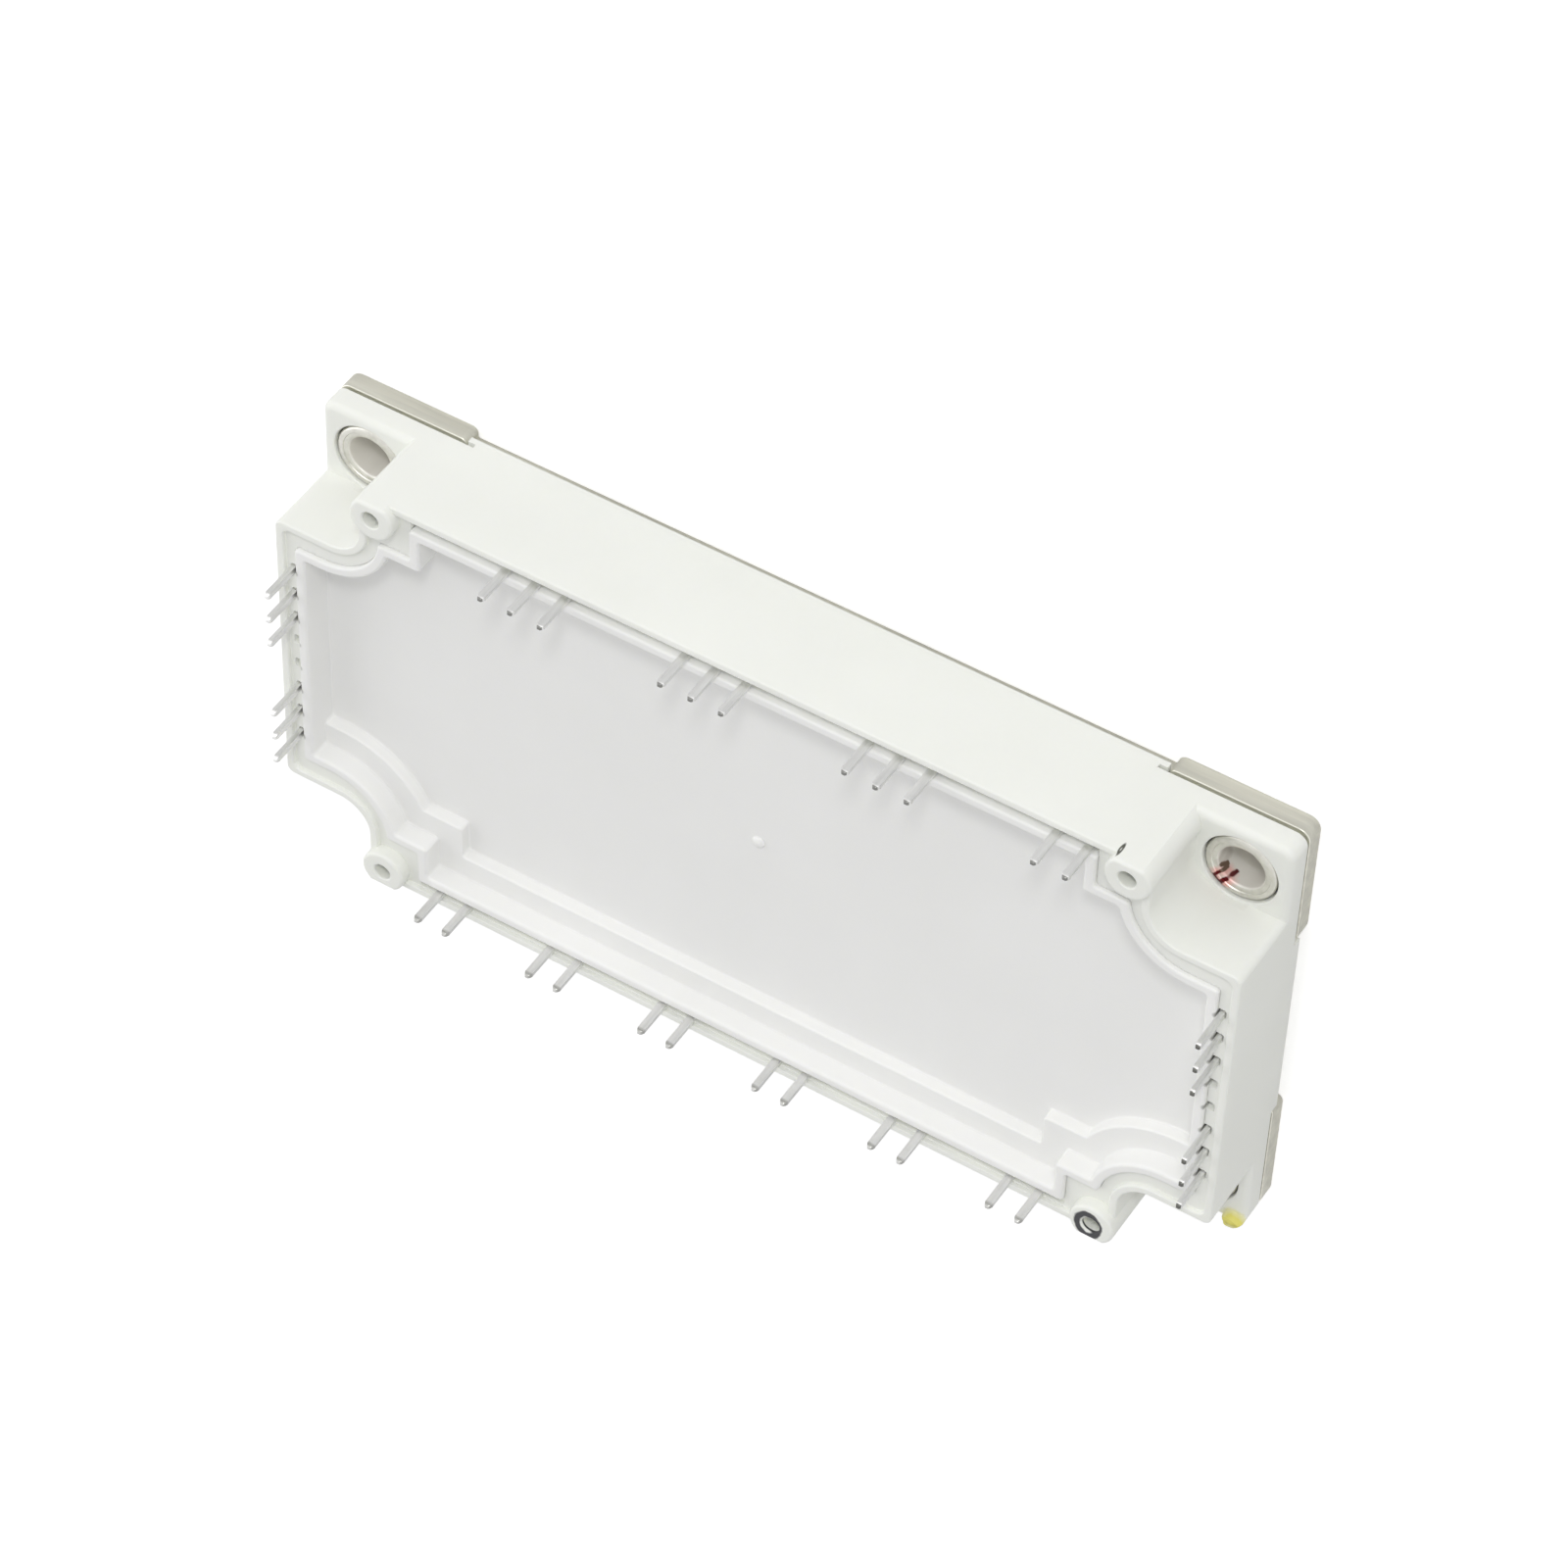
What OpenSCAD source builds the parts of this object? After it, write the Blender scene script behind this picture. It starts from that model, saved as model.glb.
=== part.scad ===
/* [Module] */
// Overall length of the module, along X
body_l = 122; // [110:1:140]
// Overall width of the module, along Y
body_w = 62; // [56:1:74]
// Height of the outer rim above the mounting face
rim_z = 15.6; // [15:0.1:18]
// Height of the four board domes above the mounting face
dome_z = 16.7; // [16.2:0.1:19]
// Height of the pin tips above the mounting face
pin_tip_z = 20.5; // [18:0.5:26]

/* [Baseplate] */
// Thickness of the baseplate
plate_t = 2.5; // [2:0.1:3.5]
// Corner radius of the baseplate
plate_corner_r = 1.5; // [1:0.5:5]
// Reach of each corner ear along the long side
ear_x = 16.9; // [14:0.1:20]
// Reach of each corner ear along the short end
ear_y = 17; // [15:0.1:20]
// Radius on the inner corners of the ears
ear_r = 0.9; // [0.3:0.1:1]
// Set-back of the plate between the ears, long sides
side_step = 1.4; // [0.8:0.1:2]
// Set-back of the plate between the ears, short ends
end_step = 1; // [0.6:0.1:2]

/* [Mounting holes] */
// Distance of the hole centres from the short ends
hole_in_x = 6; // [5.5:0.1:7]
// Distance of the hole centres from the long sides
hole_in_y = 6; // [5.5:0.1:7]
// Diameter of the mounting holes
hole_d = 5.5; // [4.3:0.1:6.5]
// Outside diameter of the metal bushes
bush_d = 8.6; // [8:0.1:9.2]
// Gap left round each bush in the frame
bush_gap = 0.2; // [0.05:0.05:0.4]
// Drop of the bush top below the flange face
bush_drop = 0.25; // [0:0.05:0.6]

/* [Frame] */
// Thickness of the corner flanges above the plate
flange_t = 3.5; // [2:0.1:4]
// Corner radius of the flanges
flange_corner_r = 1.5; // [1:0.5:5]
// Length of each screw pocket, from the short end
pocket_x = 11.4; // [10.5:0.1:12]
// Width of each screw pocket, from the long side
pocket_y = 10.5; // [9.5:0.1:11]
// Radius in the inner corner of each pocket
pocket_r = 4.2; // [1:0.1:6]
// Radius on the short-end corners beside the pockets
end_corner_r = 1; // [0.3:0.1:2]
// Width of the raised lip on the outer edge
lip_w = 1; // [0.6:0.1:1.2]
// Height of the lip above the top of the frame
lip_h = 0.6; // [0.2:0.1:1.2]
// Bottom of the frame skirt beside the plate
skirt_z = 1.6; // [0.5:0.1:1.9]
// Gap between the skirt and the plate
skirt_gap = 0.15; // [0.05:0.05:0.3]
// Height of the shadow gap over the plate ears
relief_h = 0.5; // [0.2:0.1:0.8]
// Depth of the shadow gap over the plate ears
relief_d = 0.9; // [0.4:0.1:1.5]
// Run of the shadow gap past the ears, along the long sides
relief_lap = 1; // [0:0.1:2]
// Width of the bonding shelf round the inside
shelf_w = 2.6; // [2:0.1:2.6]
// Height of the bonding shelf above the mounting face
shelf_z = 5.5; // [4.5:0.1:6.5]

/* [Board domes] */
// Distance of the dome centres from the short ends
dome_in_x = 13.75; // [13:0.05:14.5]
// Distance of the dome centres from the long sides
dome_in_y = 2.25; // [2.1:0.05:2.6]
// Outside diameter of the domes
dome_d = 5.6; // [4.6:0.1:5.8]
// Diameter of the screw hole in each dome
dome_hole_d = 2.2; // [1.6:0.1:2.6]
// Depth of the screw hole in each dome
dome_hole_depth = 9; // [5:0.5:11]

/* [Lid] */
// Distance from the long side to the lid edge
lid_side = 2.35; // [2.3:0.05:2.7]
// Distance from the short end to the lid edge
lid_end = 2.5; // [2.45:0.05:2.8]
// Width of the raised border of the lid
border_w = 1.3; // [0.8:0.1:1.6]
// Width of the ledge inside the border
ledge_w = 3.2; // [1.5:0.1:4]
// Height of the ledge above the mounting face
ledge_z = 13; // [12.5:0.1:13.5]
// Height of the tray floor above the mounting face
floor_z = 11.45; // [11.2:0.05:12]
// Thickness of the tray floor
floor_t = 1.2; // [1:0.1:1.5]
// Gap between the lid and the frame
lid_gap = 0.12; // [0.05:0.01:0.2]
// Width of the seat that carries the lid
seat_w = 1.45; // [1:0.05:1.6]
// Distance of the lid notch edge from the hole centre
notch_r = 7.9; // [7:0.1:8.2]
// Distance from the long side to the lid beside the domes
notch_side = 7; // [6.5:0.1:8]
// Distance from the short end to the lid step beside the domes
notch_end = 18; // [17:0.1:20]
// Diameter of the gate mark in the middle of the lid
gate_d = 3.6; // [2:0.1:6]
// Height of the gate mark
gate_h = 0.25; // [0.1:0.05:0.5]

/* [Pins] */
// Pitch of the pin grid
pitch = 3.81; // [2.54:0.01:3.81]
// Width of a pin along its row
pin_w = 1; // [0.6:0.05:1.2]
// Thickness of a pin across its row
pin_t = 0.65; // [0.5:0.05:0.8]
// Taper at the tip of a pin
pin_tip = 0.3; // [0.1:0.05:0.3]
// Distance of the long pin rows from the long sides
row_in_y = 1.79; // [1.7:0.01:1.79]
// Distance of the end pin rows from the short ends
row_in_x = 1.945; // [1.85:0.005:1.95]
// Least distance from a pin or slot to the end of its row
row_clear = 0.4; // [0.2:0.1:0.5]
// Gap round a pin in its channel
pin_gap = 0.05; // [0.02:0.01:0.1]
// Length of the foot of a pin inside the housing
foot_l = 4.4; // [3:0.1:4.6]
// Depth of the groove that the pins leave through
groove_depth = 1.1; // [0.6:0.1:3.5]
// Length of each pin slot in the short ends
end_slot_l = 2.3; // [1.4:0.1:2.6]
// Distance of the outer edge of the pin slots from the short ends
end_slot_in = 1.4; // [1.1:0.1:1.4]

/* [Power circuit] */
// Distance from the long sides to the ceramic substrates
dcb_side = 14; // [14:0.5:17]
// Distance from the short ends to the first and last substrate
dcb_end = 16; // [14:0.5:18]
// Gap between neighbouring substrates
dcb_gap = 3; // [2:0.5:4]
// Thickness of the ceramic
ceramic_t = 0.38; // [0.25:0.01:0.65]
// Thickness of each copper layer
copper_t = 0.3; // [0.2:0.01:0.4]
// Border of bare ceramic round the copper
copper_edge = 0.7; // [0.4:0.1:1.5]
// Gap between the copper tracks
track_gap = 0.8; // [0.5:0.1:1.5]
// Thickness of the chips
chip_t = 0.2; // [0.12:0.01:0.3]
// Side of a transistor chip
igbt_s = 9; // [6:0.5:9.5]
// Side of a diode chip
diode_s = 6; // [4:0.5:6.5]
// Gap between a transistor chip and its diode
pair_gap = 2.4; // [1:0.1:3]
// Length of the thermistor
thermistor_l = 3.2; // [1.6:0.1:4]
// Width of the thermistor
thermistor_w = 1.6; // [0.8:0.1:2]
// Height of the thermistor
thermistor_h = 1; // [0.5:0.1:1.5]
// Distance of the thermistor centre from the edge of its substrate
thermistor_in = 4; // [3:0.1:5]
// Diameter of the bond wires
wire_d = 0.4; // [0.2:0.05:0.5]
// Bend radius of the bond wires
wire_r = 2.2; // [1:0.1:2.5]
// Least distance of a bond wire from the edge of its chip
wire_in = 0.8; // [0.4:0.1:1.2]
// Bond wires on each chip pair
wire_count = 4; // [2:1:6]
// Height of the silicone gel above the mounting face
gel_z = 9; // [8:0.1:9.5]

/* [Hidden] */
half_l = body_l / 2;
half_w = body_w / 2;
hole_x = half_l - hole_in_x;
hole_y = half_w - hole_in_y;
long_half = half_l - notch_end;
end_half = hole_y - notch_r;

// Pitches from the middle of a row to the last place that lies clear of its end
function pitch_count(half, w) = (half - w / 2 - row_clear) / pitch;

// Whole pitches from one pin group to the next, and pin slots on each side of the middle
front_count = floor((pitch_count(long_half, pin_w) - 1 / 2) / 2.5);
back_count = floor((pitch_count(long_half, pin_w) + 1) / 2);
end_count = floor(pitch_count(end_half, end_slot_l) + 1 / 2);

// Places of the pins and slots, in pitches from the middle: six pairs in front,
// three groups of three and a pair at the back, three beside each end of the short rows
FRONT_AT = [for (k = [-2.5 : 2.5]) for (s = [-1, 1]) k * front_count + s / 2];
BACK_AT = [for (k = [-1 : 2]) for (s = [-1 : 1]) if (k < 2 || s < 1) k * back_count - 1 + s];
END_AT = [for (s = [1, -1]) for (k = [1 : 3]) s * (end_count - (s > 0 ? k : 4 - k) + 1 / 2)];
SLOT_AT = [for (s = [-1, 1]) for (k = [1 : end_count]) s * (k - 1 / 2)];

$fn = 64;
eps = 0.02;
// Overrun of the cutters past what they cut
over = 2;
IVORY = "#f1f1e9";
PALE = "#e2e2df";
NICKEL = "#b4b4ac";
TINNED = "#bcbcb8";
COPPER = "#c98a5a";

dome_x = half_l - dome_in_x;
dome_y = half_w - dome_in_y;
row_x = half_l - row_in_x;
row_y = half_w - row_in_y;
flange_z = plate_t + flange_t;
top_z = rim_z - lip_h;
pocket_in_x = half_l - pocket_x;
pocket_in_y = half_w - pocket_y;
side_y = half_w - side_step;
end_x = half_l - end_step;
skirt_x = half_l - ear_x - skirt_gap;
skirt_y = half_w - ear_y - skirt_gap;
lid_x = half_l - lid_end;
lid_y = half_w - lid_side;
seat_z = floor_z - floor_t;
cavity_in = seat_w;
lower_in = seat_w + shelf_w;
floor_in = border_w + ledge_w;
groove_z = top_z - groove_depth;
groove_out_y = half_w - lip_w;
groove_out_x = half_l - end_slot_in;
dcb_l = (body_l - 2 * dcb_end - 2 * dcb_gap) / 3;
dcb_w = body_w - 2 * dcb_side;
dcb_pitch = dcb_l + dcb_gap;
ceramic_z = plate_t + copper_t;
top_copper_z = ceramic_z + ceramic_t;
chip_z = top_copper_z + copper_t;
wire_z = chip_z + chip_t;
track_w = (dcb_w - 2 * copper_edge - 2 * track_gap) / 3;

// Copies of the children in all four corners
module corners() {
    for (sx = [-1, 1]) {
        for (sy = [-1, 1]) {
            scale([sx, sy, 1]) children();
        }
    }
}

// Plate outline of the given size with round corners
module rounded(l, w, r) {
    square([l - 2 * r, w], center = true);
    square([l, w - 2 * r], center = true);
    for (sx = [-1, 1]) {
        for (sy = [-1, 1]) {
            translate([sx * (l / 2 - r), sy * (w / 2 - r)]) circle(r = r);
        }
    }
}

// Positions of the four corners, numbered from the front left
function corner_point(i, x, y) = [(i % 2 == 1 ? -1 : 1) * x, (i <= 2 ? -1 : 1) * y];

// A rectangle from one corner to the other, in the quarter of the plane with the given signs
module quarter_box(sx, sy, x0, y0, x1, y1) {
    translate([sx * (x0 + x1) / 2, sy * (y0 + y1) / 2]) square([x1 - x0, y1 - y0], center = true);
}

// Outline of the baseplate: full size only at the four ears
module plate_outline() {
    ear_in_x = half_l - ear_x;
    ear_in_y = half_w - ear_y;
    c = plate_corner_r;
    square([2 * end_x, 2 * side_y], center = true);
    for (sx = [-1, 1]) {
        for (sy = [-1, 1]) {
            quarter_box(sx, sy, ear_in_x, 0, half_l - c, half_w - ear_r);
            quarter_box(sx, sy, ear_in_x + ear_r, 0, half_l - c, half_w);
            quarter_box(sx, sy, 0, ear_in_y, half_l - ear_r, half_w - c);
            quarter_box(sx, sy, 0, ear_in_y + ear_r, half_l, half_w - c);
            translate([sx * (half_l - c), sy * (half_w - c)]) circle(r = c);
            translate([sx * (ear_in_x + ear_r), sy * (half_w - ear_r)]) circle(r = ear_r);
            translate([sx * (half_l - ear_r), sy * (ear_in_y + ear_r)]) circle(r = ear_r);
        }
    }
}

module baseplate() {
    color(NICKEL) difference() {
        linear_extrude(plate_t) plate_outline();
        for (i = [1 : 4]) {
            p = corner_point(i, hole_x, hole_y);
            translate([p[0], p[1], -over]) cylinder(d = hole_d, h = plate_t + 2 * over);
        }
    }
}

module bush(i) {
    p = corner_point(i, hole_x, hole_y);
    h = flange_t - bush_drop;
    color(NICKEL) translate([p[0], p[1], plate_t]) difference() {
        cylinder(d = bush_d, h = h);
        translate([0, 0, -over]) cylinder(d = hole_d, h = h + 2 * over);
    }
}

// Outline of the upright body, with its four screw pockets left out, drawn in by a distance
module body_outline(inset) {
    px = pocket_in_x;
    py = pocket_in_y;
    rounded(body_l - 2 * inset, 2 * (py - inset), end_corner_r);
    square([2 * dome_x, body_w - 2 * inset], center = true);
    square([2 * (px - inset), 2 * dome_y], center = true);
    corners() {
        // inner corner of a pocket
        difference() {
            translate([px - inset - eps, py - inset - eps]) square(pocket_r + inset + eps);
            translate([px + pocket_r, py + pocket_r]) circle(r = pocket_r + inset);
        }
        // outer corner of the body, round like the dome
        intersection() {
            translate([dome_x, dome_y]) circle(d = dome_d - 2 * inset);
            square([half_l, half_w - inset]);
        }
    }
}

// Outline of the lid drawn in by one distance along the border and another at the short ends
module lid_outline(inset, end_inset) {
    nx = half_l - notch_end - inset;
    ny = half_w - notch_side - inset;
    nr = notch_r + inset;
    difference() {
        square([2 * (lid_x - end_inset), 2 * (lid_y - inset)], center = true);
        corners() {
            translate([nx, ny]) square([half_l, half_w]);
            translate([hole_x, hole_y]) circle(r = nr);
            translate([hole_x, hole_y - nr]) square([half_l, half_w]);
        }
    }
}

// Skirt that laps down the sides of the plate between the ears
module skirt_outline() {
    for (s = [-1, 1]) {
        side_in = side_y + skirt_gap;
        end_in = end_x + skirt_gap;
        translate([-skirt_x, s > 0 ? side_in : -half_w]) square([2 * skirt_x, half_w - side_in]);
        translate([s > 0 ? end_in : -half_l, -skirt_y]) square([half_l - end_in, 2 * skirt_y]);
    }
}

// Shadow gap between the flanges and the plate ears
module ear_relief() {
    translate([0, 0, plate_t - eps]) linear_extrude(relief_h + eps) difference() {
        square([body_l + over, body_w + over], center = true);
        rounded(body_l - 2 * relief_d, body_w - 2 * relief_d, flange_corner_r);
        square([2 * (skirt_x - relief_lap), body_w + 2 * over], center = true);
        square([body_l + 2 * over, 2 * skirt_y], center = true);
    }
}

// A pin in its own frame: blade along +Z, foot towards +Y, grown by a gap
module pin_shape(gap, tip) {
    z0 = shelf_z;
    w = pin_w / 2 + gap;
    t = pin_t / 2 + gap;
    c = tip ? pin_tip : 0;
    rotate([90, 0, 0]) translate([0, 0, -t]) linear_extrude(2 * t) polygon([
        [-w, z0], [w, z0], [w, pin_tip_z - 2 * c], [w - c, pin_tip_z],
        [-w + c, pin_tip_z], [-w, pin_tip_z - 2 * c]
    ]);
    translate([-w, -t, z0]) cube([2 * w, foot_l + t + gap, pin_t + gap]);
}

module front_pin(i, gap = 0, tip = true) {
    translate([pitch * FRONT_AT[i - 1], -row_y, 0]) pin_shape(gap, tip);
}

module back_pin(i, gap = 0, tip = true) {
    translate([pitch * BACK_AT[i - 1], row_y, 0]) rotate([0, 0, 180]) pin_shape(gap, tip);
}

module left_pin(i, gap = 0, tip = true) {
    translate([-row_x, pitch * END_AT[i - 1], 0]) rotate([0, 0, -90]) pin_shape(gap, tip);
}

module right_pin(i, gap = 0, tip = true) {
    translate([row_x, pitch * END_AT[i - 1], 0]) rotate([0, 0, 90]) pin_shape(gap, tip);
}

module pin_channels() {
    for (i = [1 : len(FRONT_AT)]) front_pin(i, pin_gap, false);
    for (i = [1 : len(BACK_AT)]) back_pin(i, pin_gap, false);
    for (i = [1 : len(END_AT)]) left_pin(i, pin_gap, false);
    for (i = [1 : len(END_AT)]) right_pin(i, pin_gap, false);
}

// Groove along the long sides and single slots along the short ends
module groove() {
    translate([0, 0, groove_z]) linear_extrude(pin_tip_z) {
        for (s = [-1, 1]) {
            translate([-long_half, s > 0 ? lid_y : -groove_out_y])
                square([2 * long_half, groove_out_y - lid_y]);
            for (a = SLOT_AT) {
                translate([s > 0 ? lid_x : -groove_out_x, pitch * a - end_slot_l / 2])
                    square([groove_out_x - lid_x, end_slot_l]);
            }
        }
    }
}

module frame() {
    color(IVORY) difference() {
        union() {
            translate([0, 0, plate_t]) linear_extrude(flange_t) rounded(body_l, body_w, flange_corner_r);
            translate([0, 0, plate_t]) linear_extrude(top_z - plate_t) body_outline(0);
            translate([0, 0, top_z - eps]) linear_extrude(lip_h + eps) difference() {
                body_outline(0);
                body_outline(lip_w);
            }
            translate([0, 0, skirt_z]) linear_extrude(plate_t - skirt_z + eps) skirt_outline();
            corners() {
                intersection() {
                    translate([dome_x, dome_y, plate_t]) cylinder(d = dome_d, h = dome_z - plate_t);
                    translate([0, 0, plate_t]) cube([half_l, half_w, dome_z]);
                }
            }
        }
        // room for the circuit, the bonding shelf and the seat of the lid
        translate([0, 0, plate_t - over]) linear_extrude(rim_z) lid_outline(lower_in, lower_in);
        translate([0, 0, shelf_z]) linear_extrude(rim_z) lid_outline(cavity_in, cavity_in);
        translate([0, 0, seat_z]) linear_extrude(rim_z) lid_outline(-lid_gap, -lid_gap);
        groove();
        pin_channels();
        ear_relief();
        for (i = [1 : 4]) {
            h = corner_point(i, hole_x, hole_y);
            d = corner_point(i, dome_x, dome_y);
            translate([h[0], h[1], plate_t - over])
                cylinder(d = bush_d + 2 * bush_gap, h = flange_t + 2 * over);
            translate([d[0], d[1], dome_z - dome_hole_depth]) cylinder(d = dome_hole_d, h = dome_z);
        }
    }
}

// The half of a lid outline that lies behind the middle line
module back_half(inset) {
    intersection() {
        lid_outline(inset, inset);
        translate([-half_l, 0]) square([body_l, half_w]);
    }
}

module lid() {
    color(PALE) difference() {
        union() {
            difference() {
                translate([0, 0, seat_z]) linear_extrude(rim_z - seat_z) lid_outline(0, 0);
                translate([0, 0, ledge_z]) linear_extrude(rim_z) lid_outline(border_w, border_w);
                translate([0, 0, floor_z]) linear_extrude(rim_z) {
                    lid_outline(floor_in, border_w);
                    back_half(border_w);
                }
            }
            translate([0, 0, floor_z - eps]) cylinder(d = gate_d, h = gate_h + eps);
        }
        // hollow under the ledge
        translate([0, 0, seat_z - over]) linear_extrude(over + ledge_z - floor_z) difference() {
            lid_outline(seat_w, seat_w);
            lid_outline(floor_in - floor_t, 0);
            back_half(0);
        }
    }
}

function dcb_x(i) = (i - 2) * dcb_pitch;

module bottom_copper(i) {
    color(COPPER) translate([dcb_x(i), 0, plate_t + copper_t / 2])
        cube([dcb_l - 2 * copper_edge, dcb_w - 2 * copper_edge, copper_t], center = true);
}

module ceramic(i) {
    color("white") translate([dcb_x(i), 0, ceramic_z + ceramic_t / 2])
        cube([dcb_l, dcb_w, ceramic_t], center = true);
}

// Three copper tracks across each substrate
module top_copper(i) {
    color(COPPER) for (k = [-1 : 1]) {
        translate([dcb_x(i), k * (track_w + track_gap), top_copper_z + copper_t / 2])
            cube([dcb_l - 2 * copper_edge, track_w, copper_t], center = true);
    }
}

function igbt_cx(i) = dcb_x(i) - (diode_s + pair_gap) / 2;
function diode_cx(i) = dcb_x(i) + (igbt_s + pair_gap) / 2;

module igbt_chips(i) {
    color("#8f949c") for (s = [-1, 1]) {
        translate([igbt_cx(i), s * (track_w + track_gap), chip_z + chip_t / 2])
            cube([igbt_s, igbt_s, chip_t], center = true);
    }
}

module diode_chips(i) {
    color("#8f949c") for (s = [-1, 1]) {
        translate([diode_cx(i), s * (track_w + track_gap), chip_z + chip_t / 2])
            cube([diode_s, diode_s, chip_t], center = true);
    }
}

module thermistor() {
    color("#5a5a5e") translate([dcb_x(1) - dcb_l / 2 + thermistor_in, 0, chip_z + thermistor_h / 2])
        cube([thermistor_l, thermistor_w, thermistor_h], center = true);
}

// Loops that join each transistor chip to its diode
module bond_wires() {
    joint_x = (diode_cx(1) - diode_s / 2 + igbt_cx(1) + igbt_s / 2) / 2 - dcb_x(1);
    step = (diode_s - 2 * wire_in) / (wire_count - 1);
    color("#d9d9d9") for (i = [1 : 3]) {
        for (s = [-1, 1]) {
            for (k = [0 : wire_count - 1]) {
                y = s * (track_w + track_gap) + (k - (wire_count - 1) / 2) * step;
                translate([dcb_x(i) + joint_x, y, wire_z]) rotate([90, 0, 0])
                    rotate_extrude(angle = 180) translate([wire_r, 0]) circle(d = wire_d, $fn = 24);
            }
        }
    }
}

// Soft filling over the circuit, clear of the substrates, the chips and the pin feet
module gel() {
    color("#dfe6ea") difference() {
        union() {
            translate([0, 0, plate_t]) linear_extrude(gel_z - plate_t) lid_outline(lower_in, lower_in);
            translate([0, 0, shelf_z]) linear_extrude(gel_z - shelf_z) lid_outline(cavity_in, cavity_in);
        }
        for (i = [1 : 3]) {
            translate([dcb_x(i), 0, plate_t - over])
                linear_extrude(wire_z + wire_r + wire_d - plate_t + over)
                    square([dcb_l, dcb_w], center = true);
        }
        pin_channels();
    }
}

baseplate();
frame();
lid();
gel();
bond_wires();
thermistor();
for (i = [1 : 4]) {
    bush(i);
}
for (i = [1 : 3]) {
    bottom_copper(i);
    ceramic(i);
    top_copper(i);
    igbt_chips(i);
    diode_chips(i);
}
for (i = [1 : len(FRONT_AT)]) {
    front_pin(i);
}
for (i = [1 : len(BACK_AT)]) {
    back_pin(i);
}
for (i = [1 : len(END_AT)]) {
    left_pin(i);
    right_pin(i);
}
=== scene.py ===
"""A flat power transistor module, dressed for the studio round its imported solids.

Sizes are in millimetres in the row frame: +X along the module, +Y towards the long
side whose pins stand in threes, +Z up.
"""

import logging
import math
from dataclasses import dataclass, field
from enum import Enum

import bmesh
import bpy
from mathutils import Matrix, Vector

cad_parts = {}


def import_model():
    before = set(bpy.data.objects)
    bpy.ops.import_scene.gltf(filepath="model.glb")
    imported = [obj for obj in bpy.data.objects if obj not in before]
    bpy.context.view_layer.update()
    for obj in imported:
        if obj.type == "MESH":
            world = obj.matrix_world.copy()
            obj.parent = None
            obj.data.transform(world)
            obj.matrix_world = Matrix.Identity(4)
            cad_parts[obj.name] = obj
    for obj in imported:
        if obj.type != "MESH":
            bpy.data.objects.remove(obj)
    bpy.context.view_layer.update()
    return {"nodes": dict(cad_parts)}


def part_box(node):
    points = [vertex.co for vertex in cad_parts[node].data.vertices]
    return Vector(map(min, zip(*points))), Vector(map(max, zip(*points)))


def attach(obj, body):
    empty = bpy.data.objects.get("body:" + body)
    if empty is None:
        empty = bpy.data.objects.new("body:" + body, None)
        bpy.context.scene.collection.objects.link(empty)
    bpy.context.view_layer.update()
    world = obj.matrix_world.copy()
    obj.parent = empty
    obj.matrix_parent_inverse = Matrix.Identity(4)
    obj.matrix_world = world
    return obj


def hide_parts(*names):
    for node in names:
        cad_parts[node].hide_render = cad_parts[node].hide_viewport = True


Point = tuple[float, float]
Outline = list[Point]
Ring = tuple[float, float]      # inset or radius, and height
Span = tuple[float, float]      # lower and upper end of a range
Triple = tuple[float, float, float]
Colour = Triple
Piece = bpy.types.Object
Material = bpy.types.Material
Socket = bpy.types.NodeSocket
Tree = bpy.types.ShaderNodeTree
Value = Socket | float | Triple

LOG = logging.getLogger("module")
MM = 0.001                  # metres in a millimetre
AXIS = 0.01                 # radius at which a turned solid starts, so that its end faces keep an area
SIDE_SHARE = 0.45           # the most of a side that one round corner takes
LEAST_MITRE = 0.2           # keeps the points of very sharp corners from running away
NOISE_SPAN = (0.3, 0.7)     # values between which nearly all of a noise lies
CORNERS = ((1, 1), (1, -1), (-1, 1), (-1, -1))


# ---------------------------------------------------------------- outlines

def arc(cx: float, cy: float, r: float, start: float, end: float, steps: int) -> Outline:
    """Points along an arc.

    Args:
        cx: X of the centre.
        cy: Y of the centre.
        r: Radius.
        start: First angle in degrees.
        end: Last angle in degrees.
        steps: Number of chords.

    Returns:
        The points from the first angle to the last.
    """
    out: Outline = []
    for k in range(steps + 1):
        a = math.radians(start + (end - start) * k / steps)
        out.append((cx + r * math.cos(a), cy + r * math.sin(a)))
    return out


def four_corners(quarter: Outline) -> Outline:
    """Closes a quarter outline into a whole one.

    Args:
        quarter: Points of the +X +Y quarter, from the long side to the short end.

    Returns:
        The whole outline, counter-clockwise.
    """
    right = quarter + [(x, -y) for x, y in reversed(quarter)]
    whole = right + [(-x, -y) for x, y in right]
    return list(reversed(whole))


def box_outline(x0: float, y0: float, x1: float, y1: float) -> Outline:
    """A rectangle, counter-clockwise, from its low corner and its high corner."""
    return [(x0, y0), (x1, y0), (x1, y1), (x0, y1)]


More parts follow.
